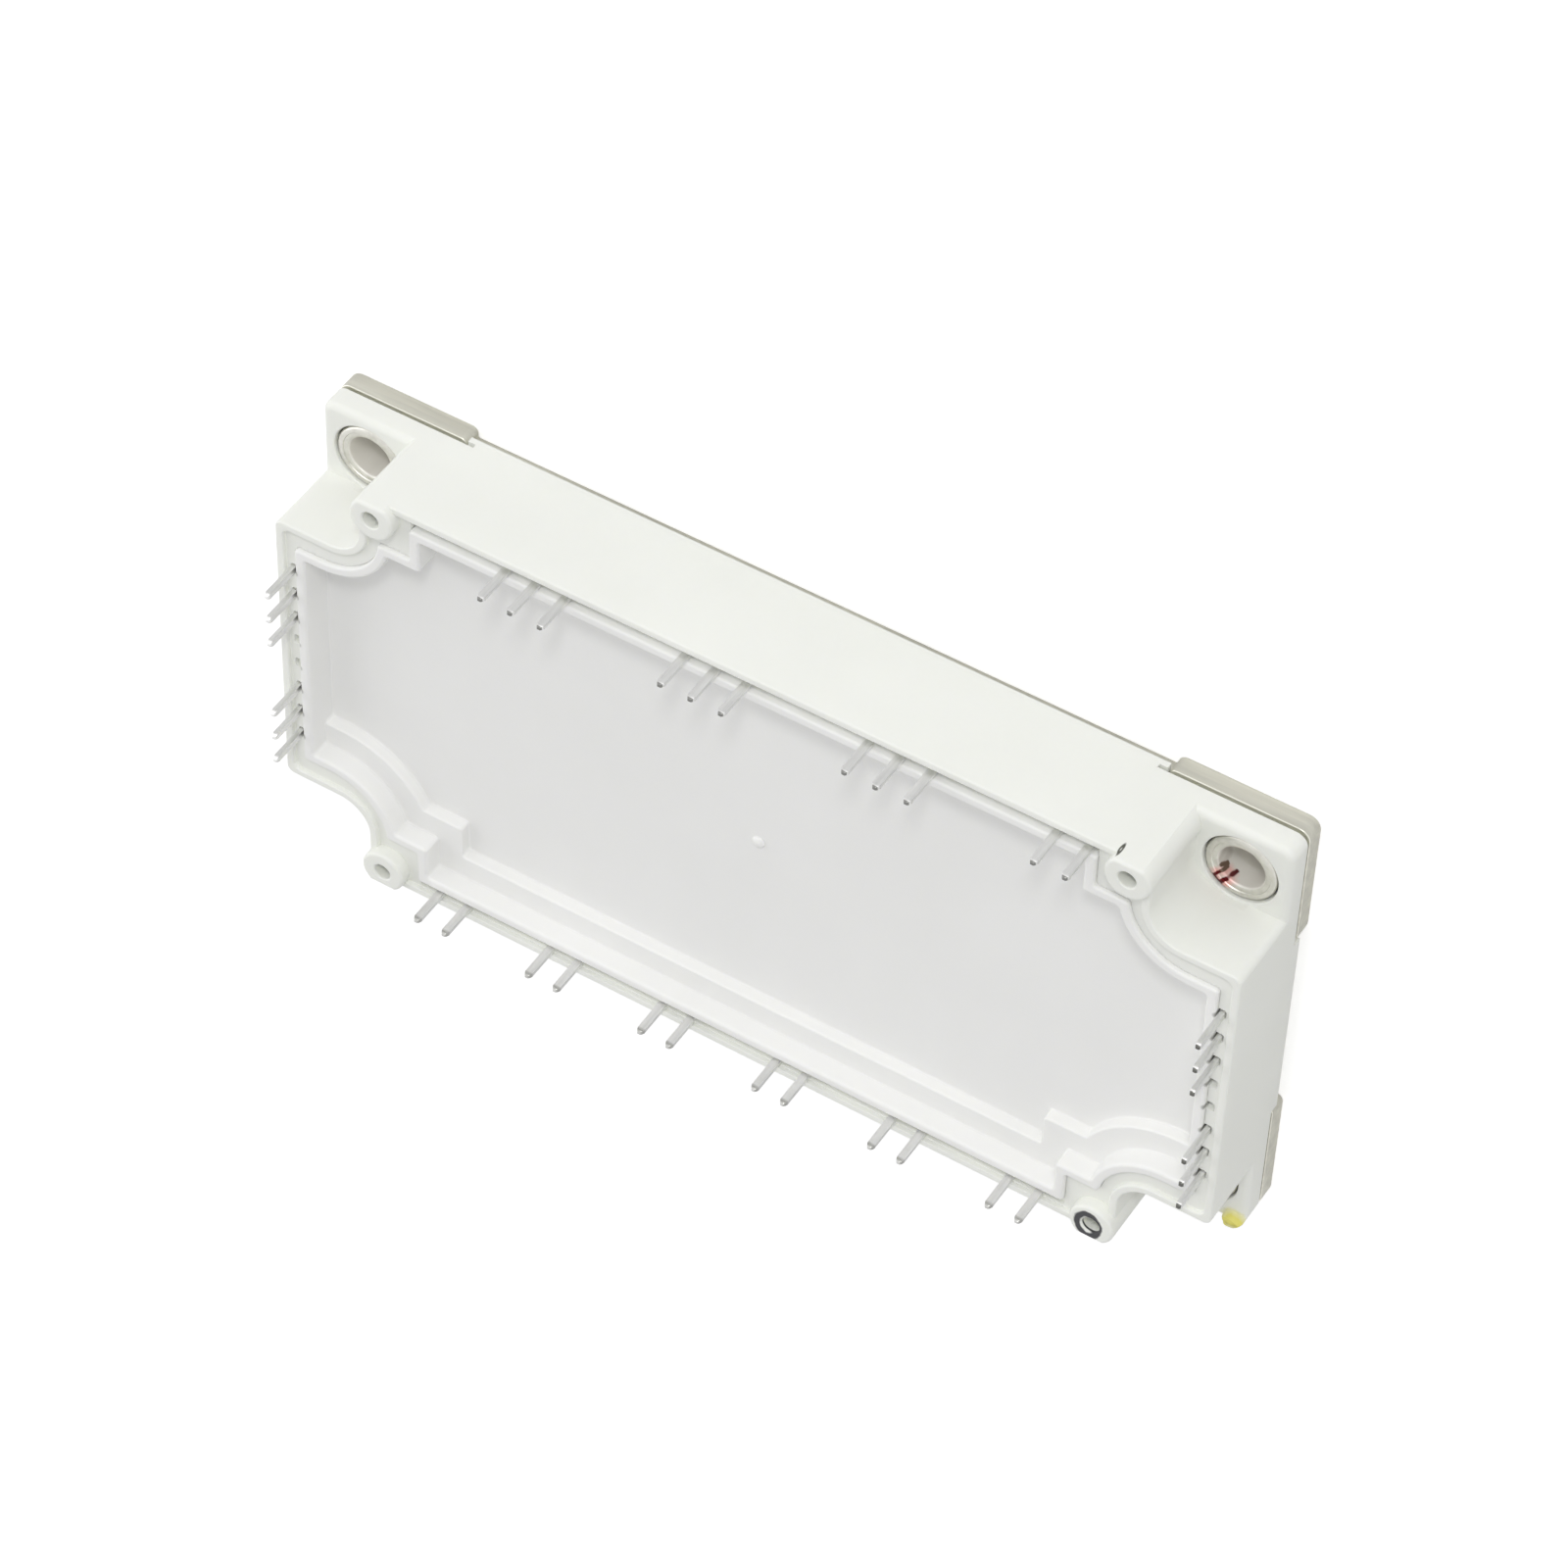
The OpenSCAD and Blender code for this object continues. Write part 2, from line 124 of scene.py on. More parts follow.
def softened(outline: Outline, radius: float, steps: int = 4, least_turn: float = 30.0) -> Outline:
    """Rounds the sharp corners of an outline in plan.

    Args:
        outline: Closed outline.
        radius: Radius of the new corners, less where a side is too short.
        steps: Chords in each new corner.
        least_turn: Corners that turn by fewer degrees than this stay.

    Returns:
        The outline with arcs in its corners.
    """
    out: Outline = []
    count = len(outline)
    for k in range(count):
        p0, p, p1 = (Vector(outline[(k + d) % count]) for d in (-1, 0, 1))
        a, b = p0 - p, p1 - p
        turn = math.pi - a.angle(b)
        if math.degrees(turn) < least_turn:
            out.append(outline[k])
            continue
        reach = min(radius * math.tan(turn / 2), a.length * SIDE_SHARE, b.length * SIDE_SHARE)
        r = reach / math.tan(turn / 2)
        start, end = p + a.normalized() * reach, p + b.normalized() * reach
        centre = p + (a.normalized() + b.normalized()).normalized() * (r / math.cos(turn / 2))
        u, v = start - centre, end - centre
        sweep = math.atan2(u.x * v.y - u.y * v.x, u.dot(v))
        for s in range(steps + 1):
            w = u.copy()
            w.rotate(Matrix.Rotation(sweep * s / steps, 2))
            out.append((centre.x + w.x, centre.y + w.y))
    return out


def drawn_in(outline: Outline, inset: float, hold_x: float | None = None) -> Outline:
    """Moves each side of a counter-clockwise outline inwards.

    Args:
        outline: Closed outline.
        inset: Distance inwards, or outwards where it is negative.
        hold_x: Points further from the middle than this keep their X.

    Returns:
        The new outline, point for point.
    """
    out: Outline = []
    count = len(outline)
    for k in range(count):
        p0, p, p1 = (Vector(outline[(k + d) % count]) for d in (-1, 0, 1))
        a, b = (p - p0).normalized(), (p1 - p).normalized()
        na, nb = Vector((-a.y, a.x)), Vector((-b.y, b.x))
        move = (na + nb) * (inset / max(1.0 + na.dot(nb), LEAST_MITRE))
        if hold_x is not None and abs(p.x) > hold_x:
            move.x = 0.0
        out.append((p.x + move.x, p.y + move.y))
    return out


def foot_rings(z0: float, foot: float, steps: int) -> list[Ring]:
    """Insets and heights of a lower edge.

    Args:
        z0: Height of the lower face.
        foot: Radius on the edge, or 0 for a sharp one.
        steps: Chords in the round edge.

    Returns:
        Pairs of inset and height, from the lower face up.
    """
    if foot <= 0:
        return [(0.0, z0)]
    turns = [math.pi / 2 * k / steps for k in range(steps + 1)]
    return [(foot * (1 - math.sin(a)), z0 + foot * (1 - math.cos(a))) for a in turns]


def block_rings(z0: float, z1: float, top: float = 0.0, foot: float = 0.0, steps: int = 4) -> list[Ring]:
    """Insets and heights of a block with round edges.

    Args:
        z0: Lower face.
        z1: Upper face.
        top: Radius on the upper edge.
        foot: Radius on the lower edge.
        steps: Chords in each round edge.

    Returns:
        Pairs of inset and height, from the lower face up.
    """
    rings = foot_rings(z0, foot, steps)
    if top <= 0:
        return rings + [(0.0, z1)]
    turns = [math.pi / 2 * k / steps for k in range(steps + 1)]
    return rings + [(top * (1 - math.cos(a)), z1 - top + top * math.sin(a)) for a in turns]


def recess_rings(z0: float, face: float, over: float, foot: float = 0.0, edge: float = 0.0,
                 steps: int = 4) -> list[Ring]:
    """Insets and heights of a cutter that leaves a round edge and a round foot.

    Args:
        z0: Bottom of the recess.
        face: Height of the face that it is cut from.
        over: Height of the cutter's upper end.
        foot: Radius left at the bottom of the recess.
        edge: Radius left on the edge of the face.
        steps: Chords in each round edge.

    Returns:
        Pairs of inset and height, from the bottom up.
    """
    rings = foot_rings(z0, foot, steps)
    if edge > 0:
        for k in range(steps + 1):
            a = math.pi / 2 * k / steps
            rings.append((-edge * (1 - math.sin(math.pi / 2 - a)), face - edge + edge * math.sin(a)))
    rings.append((-edge, over))
    return rings


# ---------------------------------------------------------------- meshes

@dataclass
class MeshMaker:
    """Gathers closed shells, in millimetres, for one mesh."""

    shell: bmesh.types.BMesh = field(default_factory=bmesh.new)

    def stack(self, outline: Outline, rings: list[Ring], hold_x: float | None = None) -> "MeshMaker":
        """Adds a closed solid from one outline at several insets and heights.

        Args:
            outline: Counter-clockwise outline.
            rings: Pairs of inset and height, from the bottom up.
            hold_x: Points further out than this keep their X where a ring grows.

        Returns:
            This maker.
        """
        loops = []
        for inset, z in rings:
            points = drawn_in(outline, inset, hold_x if inset < 0 else None)
            loops.append([self.shell.verts.new((x, y, z)) for x, y in points])
        self.close(loops)
        return self

    def lathe(self, x: float, y: float, profile: list[Ring], steps: int = 48) -> "MeshMaker":
        """Adds a turned solid from a closed profile.

        Args:
            x: X of the axis.
            y: Y of the axis.
            profile: Pairs of radius and height, counter-clockwise seen with the axis at the left.
            steps: Facets round the axis.

        Returns:
            This maker.
        """
        rows = []
        for k in range(steps):
            a = 2 * math.pi * k / steps
            c, d = math.cos(a), math.sin(a)
            rows.append([self.shell.verts.new((x + r * c, y + r * d, z)) for r, z in profile])
        count = len(profile)
        for k in range(steps):
            this, after = rows[k], rows[(k + 1) % steps]
            for j in range(count):
                n = (j + 1) % count
                self.shell.faces.new((this[j], after[j], after[n], this[n]))
        return self

    def close(self, loops: list[list[bmesh.types.BMVert]]) -> None:
        """Joins loops with walls and closes the first and the last.

        Args:
            loops: Rings of as many points each, counter-clockwise, from the bottom up.
        """
        for low, high in zip(loops, loops[1:]):
            count = len(low)
            for k in range(count):
                n = (k + 1) % count
                self.shell.faces.new((low[k], low[n], high[n], high[k]))
        self.shell.faces.new(list(reversed(loops[0])))
        self.shell.faces.new(loops[-1])

    def done(self, name: str) -> Piece:
        """Turns the shells into an object, in metres.

        Args:
            name: Name of the object.

        Returns:
            The object, linked to the scene.
        """
        bmesh.ops.scale(self.shell, vec=(MM, MM, MM), verts=self.shell.verts)
        bmesh.ops.recalc_face_normals(self.shell, faces=self.shell.faces)
        mesh = bpy.data.meshes.new(name)
        self.shell.to_mesh(mesh)
        self.shell.free()
        piece = bpy.data.objects.new(name, mesh)
        bpy.context.scene.collection.objects.link(piece)
        return piece


def solid(outline: Outline, rings: list[Ring], hold_x: float | None = None) -> MeshMaker:
    """A maker with one stacked solid; the values are those of MeshMaker.stack."""
    return MeshMaker().stack(outline, rings, hold_x)


class Cut(Enum):
    """How a tool changes a piece."""

    ADD = "UNION"
    TAKE = "DIFFERENCE"


def carve(piece: Piece, steps: list[tuple[Cut, MeshMaker]]) -> None:
    """Adds tools to a piece and takes tools from it, in order.

    Args:
        piece: The piece to change.
        steps: Pairs of what to do and the tool.
    """
    for how, maker in steps:
        tool = maker.done("tool")
        change = piece.modifiers.new("carve", "BOOLEAN")
        change.operation = how.value
        change.solver = "EXACT"
        change.object = tool
        graph = bpy.context.evaluated_depsgraph_get()
        mesh = bpy.data.meshes.new_from_object(piece.evaluated_get(graph))
        piece.modifiers.clear()
        old = piece.data
        piece.data = mesh
        mesh.name = piece.name
        bpy.data.meshes.remove(old)
        old = tool.data
        bpy.data.objects.remove(tool)
        bpy.data.meshes.remove(old)


def finish_mesh(piece: Piece, sharp: float = 35.0, merge: float = 0.002) -> None:
    """Cleans a mesh and shades its round edges smoothly.

    Args:
        piece: The piece.
        sharp: Edges that turn by more degrees than this stay sharp.
        merge: Points closer than this, in millimetres, become one.
    """
    work = bmesh.new()
    work.from_mesh(piece.data)
    bmesh.ops.remove_doubles(work, verts=work.verts, dist=merge * MM)
    bmesh.ops.dissolve_degenerate(work, edges=work.edges, dist=merge * MM)
    work.to_mesh(piece.data)
    work.free()
    mesh = piece.data
    mesh.shade_smooth()
    mesh.set_sharp_from_angle(angle=math.radians(sharp))
    weigh = piece.modifiers.new("even_normals", "WEIGHTED_NORMAL")
    weigh.keep_sharp = True
    weigh.weight = 60


def settle(piece: Piece, material: Material, nodes: list[str]) -> None:
    """Gives a new piece its material and body, and hides the solids it stands for.

    Args:
        piece: The piece.
        material: Its material.
        nodes: CAD nodes that it replaces.
    """
    piece.data.materials.clear()
    piece.data.materials.append(material)
    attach(piece, "root")
    if nodes:
        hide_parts(*nodes)
    LOG.info("%s: %d faces", piece.name, len(piece.data.polygons))


# ---------------------------------------------------------------- shader groups

class GroupMaker:
    """Builds one shader node group."""

    def __init__(self, name: str) -> None:
        """Starts an empty group.

        Args:
            name: Name of the group.
        """
        self.tree = bpy.data.node_groups.new(name, "ShaderNodeTree")
        self.source = self.tree.nodes.new("NodeGroupInput")
        self.sink = self.tree.nodes.new("NodeGroupOutput")

    def takes(self, name: str, value: float | Triple) -> Socket:
        """Adds an input.

        Args:
            name: Name of the input.
            value: What it holds where a material doesn't set it, a number or a vector.

        Returns:
            The socket that brings it into the group.
        """
        kind = "NodeSocketVector" if isinstance(value, tuple) else "NodeSocketFloat"
        socket = self.tree.interface.new_socket(name=name, in_out="INPUT", socket_type=kind)
        socket.default_value = value
        return self.source.outputs[name]

    def gives(self, name: str, socket: Socket) -> None:
        """Adds a number as an output, fed by a socket."""
        self.tree.interface.new_socket(name=name, in_out="OUTPUT", socket_type="NodeSocketFloat")
        self.tree.links.new(socket, self.sink.inputs[name])

    def node(self, kind: str, **settings: object) -> bpy.types.Node:
        """Adds a node.

        Args:
            kind: Type of the node.
            **settings: Its properties.

        Returns:
            The node.
        """
        made = self.tree.nodes.new(kind)
        for key, value in settings.items():
            setattr(made, key, value)
        return made

    def link(self, a: Socket, b: Socket) -> None:
        """Links two sockets."""
        self.tree.links.new(a, b)

    def _fill(self, made: bpy.types.Node, values: tuple[Value, ...]) -> None:
        """Links or sets the first inputs of a node.

        Args:
            made: The node.
            values: A socket to link or a value to set, for each of them.
        """
        for socket, value in zip(made.inputs, values):
            if isinstance(value, Socket):
                self.link(value, socket)
            else:
                socket.default_value = value

    def math(self, how: str, a: Value, b: Value = 0.0, clamp: bool = False) -> Socket:
        """Adds a Math node.

        Args:
            how: Its operation.
            a: First socket or number.
            b: Second socket or number.
            clamp: Whether the result is kept between 0 and 1.

        Returns:
            Its result.
        """
        made = self.node("ShaderNodeMath", operation=how, use_clamp=clamp)
        self._fill(made, (a, b))
        return made.outputs[0]

    def vector(self, how: str, *values: Value, output: str = "Vector") -> Socket:
        """Adds a Vector Math node.

        Args:
            how: Its operation.
            *values: Sockets or vectors.
            output: The output that is used.

        Returns:
            Its result.
        """
        made = self.node("ShaderNodeVectorMath", operation=how)
        self._fill(made, values)
        return made.outputs[output]

    def place(self) -> Socket:
        """Adds the place on the piece, in metres."""
        return self.node("ShaderNodeTexCoord").outputs["Object"]

    def noise(self, place: Socket, scale: Value, detail: float = 2.0) -> Socket:
        """Adds a noise.

        Args:
            place: Where it is read.
            scale: Its scale, a socket or a number.
            detail: How many finer layers it has.

        Returns:
            Its strength.
        """
        made = self.node("ShaderNodeTexNoise")
        made.inputs["Detail"].default_value = detail
        self.link(place, made.inputs["Vector"])
        if isinstance(scale, Socket):
            self.link(scale, made.inputs["Scale"])
        else:
            made.inputs["Scale"].default_value = scale
        return made.outputs["Fac"]


def moulded_grain() -> Tree:
    """The fine texture of a moulded face, with slow changes of tone.

    Returns:
        A group with the outputs Height and Tone.
    """
    g = GroupMaker("moulded_grain")
    grain = g.takes("Grain", 2500.0)
    cloud = g.takes("Cloud", 60.0)
    place = g.place()
    fine, slow = g.noise(place, grain, 3.0), g.noise(place, cloud)
    g.gives("Height", fine)
    g.gives("Tone", g.math("ADD", g.math("MULTIPLY", slow, 0.8), g.math("MULTIPLY", fine, 0.2)))
    return g.tree


def drawn_lines() -> Tree:
    """Fine lines of rolled or drawn metal, stretched along one axis.

    Returns:
        A group with the outputs Height and Tone.
    """
    g = GroupMaker("drawn_lines")
    stretch = g.takes("Stretch", (1.0, 1.0, 1.0))
    scale = g.takes("Scale", 900.0)
    lines = g.noise(g.vector("MULTIPLY", g.place(), stretch), scale, 4.0)
    g.gives("Height", lines)
    g.gives("Tone", lines)
    return g.tree


def paint_patch() -> Tree:
    """A dab of paint: 1 inside an uneven ellipsoid, 0 outside, hollow where Hole is above 0.

    Returns:
        A group with the output Mask.
    """
    g = GroupMaker("paint_patch")
    centre = g.takes("Centre", (0.0, 0.0, 0.0))
    reach = g.takes("Reach", (0.001, 0.001, 0.001))
    hole = g.takes("Hole", 0.0)
    rough = g.takes("Uneven", 0.3)
    soft = g.takes("Soft", 0.08)
    place = g.place()
    away = g.vector("LENGTH", g.vector("DIVIDE", g.vector("SUBTRACT", place, centre), reach), output="Value")
    wobble = g.math("MULTIPLY", g.math("SUBTRACT", g.noise(place, 900.0), 0.5), rough)
    far = g.math("ADD", away, wobble)
    inner = g.math("DIVIDE", g.math("SUBTRACT", 1.0, far), soft, clamp=True)
    outer = g.math("DIVIDE", g.math("SUBTRACT", far, hole), soft, clamp=True)
    g.gives("Mask", g.math("MULTIPLY", inner, outer))
    return g.tree


def paint_stroke() -> Tree:
    """A pen stroke: 1 within Width of the line between two points, 0 away from it.

    Returns:
        A group with the output Mask.
    """
    g = GroupMaker("paint_stroke")
    start = g.takes("From", (0.0, 0.0, 0.0))
    end = g.takes("To", (0.001, 0.0, 0.0))
    width = g.takes("Width", 0.0003)
    place = g.place()
    here, line = g.vector("SUBTRACT", place, start), g.vector("SUBTRACT", end, start)
    part = g.math("DIVIDE", g.vector("DOT_PRODUCT", here, line, output="Value"),
                  g.vector("DOT_PRODUCT", line, line, output="Value"), clamp=True)
    away = g.vector("DISTANCE", here, g.vector("MULTIPLY", line, part), output="Value")
    reach = g.math("MULTIPLY", width, g.math("ADD", 0.6, g.math("MULTIPLY", g.noise(place, 1500.0), 0.9)))
    g.gives("Mask", g.math("DIVIDE", g.math("SUBTRACT", reach, away),
                           g.math("MULTIPLY", width, 0.45), clamp=True))
    return g.tree


def corner_bore_light() -> Tree:
    """1 inside an upright bore that stands in all four corners, 0 outside; it marks where the bores' painted
    light goes.

    Returns:
        A group with the output Mask.
    """
    g = GroupMaker("corner_bore_light")
    axis = g.takes("Axis", (0.055, 0.025, 0.0))
    radius = g.takes("Radius", 0.003)
    edge = g.takes("Edge", 0.0001)
    shift = g.vector("SUBTRACT", g.vector("ABSOLUTE", g.place()), axis)
    away = g.vector("LENGTH", g.vector("MULTIPLY", shift, (1.0, 1.0, 0.0)), output="Value")
    g.gives("Mask", g.math("DIVIDE", g.math("SUBTRACT", radius, away), edge, clamp=True))
    return g.tree


def pitch_shade_spots() -> Tree:
    """Painted shade in small round patches at every pitch along both short ends, on the faces beside the
    pins.

    Returns:
        A group with the output Mask.
    """
    g = GroupMaker("pitch_shade_spots")
    across = g.takes("Across", 0.0586)
    half = g.takes("Half Pitch", 0.001905)
    reach = g.takes("Reach", 0.00055)
    low = g.takes("Low", 0.0142)
    axes = g.node("ShaderNodeSeparateXYZ")
    g.link(g.place(), axes.inputs[0])
    out = g.math("SUBTRACT", g.math("ABSOLUTE", axes.outputs["X"]), across)
    along = g.math("SUBTRACT", half, g.math("PINGPONG", axes.outputs["Y"], half))
    away = g.math("SQRT", g.math("ADD", g.math("MULTIPLY", out, out), g.math("MULTIPLY", along, along)))
    spot = g.math("DIVIDE", g.math("SUBTRACT", reach, away), g.math("MULTIPLY", reach, 0.7), clamp=True)
    inside = g.math("LESS_THAN", g.math("ABSOLUTE", axes.outputs["Y"]), g.math("MULTIPLY", half, 8.0))
    above = g.math("GREATER_THAN", axes.outputs["Z"], low)
    g.gives("Mask", g.math("MULTIPLY", g.math("MULTIPLY", spot, inside), above))
    return g.tree


@dataclass
class Effects:
    """The shader groups, each built once and placed in every material that uses it."""

    grain: Tree = field(default_factory=moulded_grain)
    lines: Tree = field(default_factory=drawn_lines)
    patch: Tree = field(default_factory=paint_patch)
    stroke: Tree = field(default_factory=paint_stroke)
    bore: Tree = field(default_factory=corner_bore_light)
    pitch_shade_mask: Tree = field(default_factory=pitch_shade_spots)


# ---------------------------------------------------------------- finishes

@dataclass(frozen=True)
class Dab:
    """One dab of paint, ink or painted shade on a finish."""

    colour: Colour
    centre: Triple              # in millimetres
    reach: Triple               # half sizes of its ellipsoid, in millimetres
    hole: float = 0.0           # share of the reach that stays bare in the middle
    uneven: float = 0.3         # strength of the noise on its edge
    soft: float = 0.08          # width of its edge, as a share of the reach


@dataclass(frozen=True)
class Stroke:
    """One straight stroke of ink on a finish."""

    colour: Colour
    start: Triple               # in millimetres, and so are the next two
    end: Triple
    width: float


class Shader:
    """A new material with a Principled BSDF."""

    def __init__(self, name: str) -> None:
        """Makes the material.

        Args:
            name: Name of the material.
        """
        self.material = bpy.data.materials.new(name)
        self.material.use_nodes = True
        self.tree = self.material.node_tree
        self.bsdf = self.tree.nodes["Principled BSDF"]

    def group(self, tree: Tree, **values: float | Triple) -> bpy.types.Node:
        """Places a shader group.

        Args:
            tree: The group.
            **values: Values of its inputs, by name.

        Returns:
            The node that holds it.
        """
        made = self.tree.nodes.new("ShaderNodeGroup")
        made.node_tree = tree
        for key, value in values.items():
            made.inputs[key].default_value = value
        return made

    def blend(self, mask: Socket, a: Socket | Colour, b: Socket | Colour) -> Socket:
        """Mixes two colours by a mask.

        Args:
            mask: 0 shows the first colour and 1 the second.
            a: First colour.
            b: Second colour.

        Returns:
            The mixed colour.
        """
        mix = self.tree.nodes.new("ShaderNodeMix")
        mix.data_type = "RGBA"
        self.tree.links.new(mask, mix.inputs["Factor"])
        for key, value in ((6, a), (7, b)):
            if isinstance(value, Socket):
                self.tree.links.new(value, mix.inputs[key])
            else:
                mix.inputs[key].default_value = (*value, 1.0)
        return mix.outputs[2]

    def paint(self, effects: Effects, colour: Socket, dabs: tuple[Dab, ...]) -> Socket:
        """Lays dabs of paint over a colour, in order.

        Args:
            effects: The shader groups.
            colour: Colour of the bare surface.
            dabs: The dabs.

        Returns:
            The painted colour.
        """
        for dab in dabs:
            patch = self.group(effects.patch, Centre=tuple(v * MM for v in dab.centre),
                               Reach=tuple(v * MM for v in dab.reach), Hole=dab.hole,
                               Uneven=dab.uneven, Soft=dab.soft)
            colour = self.blend(patch.outputs["Mask"], colour, dab.colour)
        return colour

    def span(self, value: Socket, low: float, high: float) -> Socket:
        """Spreads a noise over a range.

        Args:
            value: The noise.
            low: Result at the low end of NOISE_SPAN.
            high: Result at its high end.

        Returns:
            The value in the new range.
        """
        node = self.tree.nodes.new("ShaderNodeMapRange")
        node.inputs["From Min"].default_value = NOISE_SPAN[0]
        node.inputs["From Max"].default_value = NOISE_SPAN[1]
        node.inputs["To Min"].default_value = low
        node.inputs["To Max"].default_value = high
        self.tree.links.new(value, node.inputs["Value"])
        return node.outputs["Result"]

    def bump(self, height: Socket, depth: float, strength: float) -> None:
        """Feeds a height to the normal.

        Args:
            height: The height, from 0 to 1.
            depth: What a height of 1 stands for, in millimetres.
            strength: Share of it that shows.
        """
        node = self.tree.nodes.new("ShaderNodeBump")
        node.inputs["Strength"].default_value = strength
        node.inputs["Distance"].default_value = depth * MM
        self.tree.links.new(height, node.inputs["Height"])
        self.tree.links.new(node.outputs["Normal"], self.bsdf.inputs["Normal"])

    def feed(self, name: str, socket: Socket) -> None:
        """Links a socket to an input of the shader."""
        self.tree.links.new(socket, self.bsdf.inputs[name])

    def set(self, name: str, value: float) -> None:
        """Sets a number on an input of the shader."""
        self.bsdf.inputs[name].default_value = value


@dataclass(frozen=True)
class MouldedPlastic:
    """Matt filled plastic as it comes out of the mould."""

    name: str
    light: Colour
    dark: Colour
    rough: Span = (0.46, 0.58)
    grain: float = 2600.0       # scale of its texture
    depth: float = 0.012        # of the texture, in millimetres
    bump: float = 0.5           # share of that depth that shows
    shine: float = 0.4          # specular level
    glow: float = 0.25          # share of the light that goes under the surface
    glow_depth: float = 1.2     # how far it goes, in millimetres
    glow_tint: Colour = (1.0, 1.0, 0.85)
    # colour of the painted shade beside the pins at every pitch
    pitch_shade: Colour = (0.30, 0.30, 0.28)
    dabs: tuple[Dab, ...] = ()

    def make(self, effects: Effects) -> Material:
        """Builds the material.

        Args:
            effects: The shader groups.

        Returns:
            The material.
        """
        s = Shader(self.name)
        s.set("Subsurface Weight", self.glow)
        s.set("Subsurface Scale", self.glow_depth * MM)
        s.bsdf.inputs["Subsurface Radius"].default_value = self.glow_tint
        grain = s.group(effects.grain, Grain=self.grain)
        colour = s.blend(s.span(grain.outputs["Tone"], 0.0, 1.0), self.dark, self.light)
        # Painted shade: darker round patches beside the pins at every pitch along both short ends.
        colour = s.blend(s.group(effects.pitch_shade_mask).outputs["Mask"], colour, self.pitch_shade)
        colour = s.paint(effects, colour, self.dabs)
        s.feed("Base Color", colour)
        s.feed("Roughness", s.span(grain.outputs["Tone"], *self.rough))
        s.set("Specular IOR Level", self.shine)
        s.bump(grain.outputs["Height"], self.depth, self.bump)
        return s.material


@dataclass(frozen=True)
class PlatedMetal:
    """Rolled, turned or drawn metal with a satin plate."""

    name: str
    light: Colour
    dark: Colour
    rough: Span = (0.28, 0.42)
    stretch: Triple = (0.05, 1.0, 1.0)      # the lines run along the axis with the small value
    scale: float = 1200.0                   # of the lines
    depth: float = 0.01                     # of the lines, in millimetres
    bump: float = 0.4                       # share of that depth that shows
    bore: Colour | None = None              # paler colour inside the corner bores: painted light
    bore_r: float = 2.95                    # how far that colour reaches from a bore's axis
    bore_metal: float = 0.2                 # how metallic it is there, less than elsewhere, as part of that painted light
    dabs: tuple[Dab, ...] = ()
    strokes: tuple[Stroke, ...] = ()

    def make(self, effects: Effects) -> Material:
        """Builds the material.

        Args:
            effects: The shader groups.

        Returns:
            The material.
        """
        s = Shader(self.name)
        lines = s.group(effects.lines, Stretch=self.stretch, Scale=self.scale)
        colour = s.blend(s.span(lines.outputs["Tone"], 0.0, 1.0), self.dark, self.light)
        s.set("Metallic", 1.0)
        # Painted light: the bores get a paler, less metallic colour than the rest of the metal.
        if self.bore:
            mask = s.group(effects.bore, Radius=self.bore_r * MM).outputs["Mask"]
            colour = s.blend(mask, colour, self.bore)
            matt = s.tree.nodes.new("ShaderNodeMapRange")
            matt.inputs["To Min"].default_value = 1.0
            matt.inputs["To Max"].default_value = self.bore_metal
            s.tree.links.new(mask, matt.inputs["Value"])
            s.feed("Metallic", matt.outputs["Result"])
        colour = s.paint(effects, colour, self.dabs)
        for stroke in self.strokes:
            drawn = s.group(effects.stroke, From=tuple(v * MM for v in stroke.start),
                            To=tuple(v * MM for v in stroke.end), Width=stroke.width * MM)
            colour = s.blend(drawn.outputs["Mask"], colour, stroke.colour)
        s.feed("Base Color", colour)
        s.feed("Roughness", s.span(lines.outputs["Tone"], *self.rough))
        s.bump(lines.outputs["Height"], self.depth, self.bump)
        return s.material


@dataclass(frozen=True)
class PlainMineral:
    """Ceramic, silicon or gel: smooth, with a faint mottle."""

    name: str
    light: Colour
    dark: Colour
    rough: Span = (0.3, 0.4)
    metallic: float = 0.0
    grain: float = 1500.0       # scale of its mottle
    depth: float = 0.005        # of the mottle, in millimetres
    bump: float = 0.3           # share of that depth that shows

    def make(self, effects: Effects) -> Material:
        """Builds the material.

        Args:
            effects: The shader groups.

        Returns:
            The material.
        """
        s = Shader(self.name)
        grain = s.group(effects.grain, Grain=self.grain)
        s.feed("Base Color", s.blend(s.span(grain.outputs["Tone"], 0.0, 1.0), self.dark, self.light))
        s.feed("Roughness", s.span(grain.outputs["Tone"], *self.rough))
        s.set("Metallic", self.metallic)
        s.bump(grain.outputs["Height"], self.depth, self.bump)
        return s.material


# ---------------------------------------------------------------- sub-assemblies

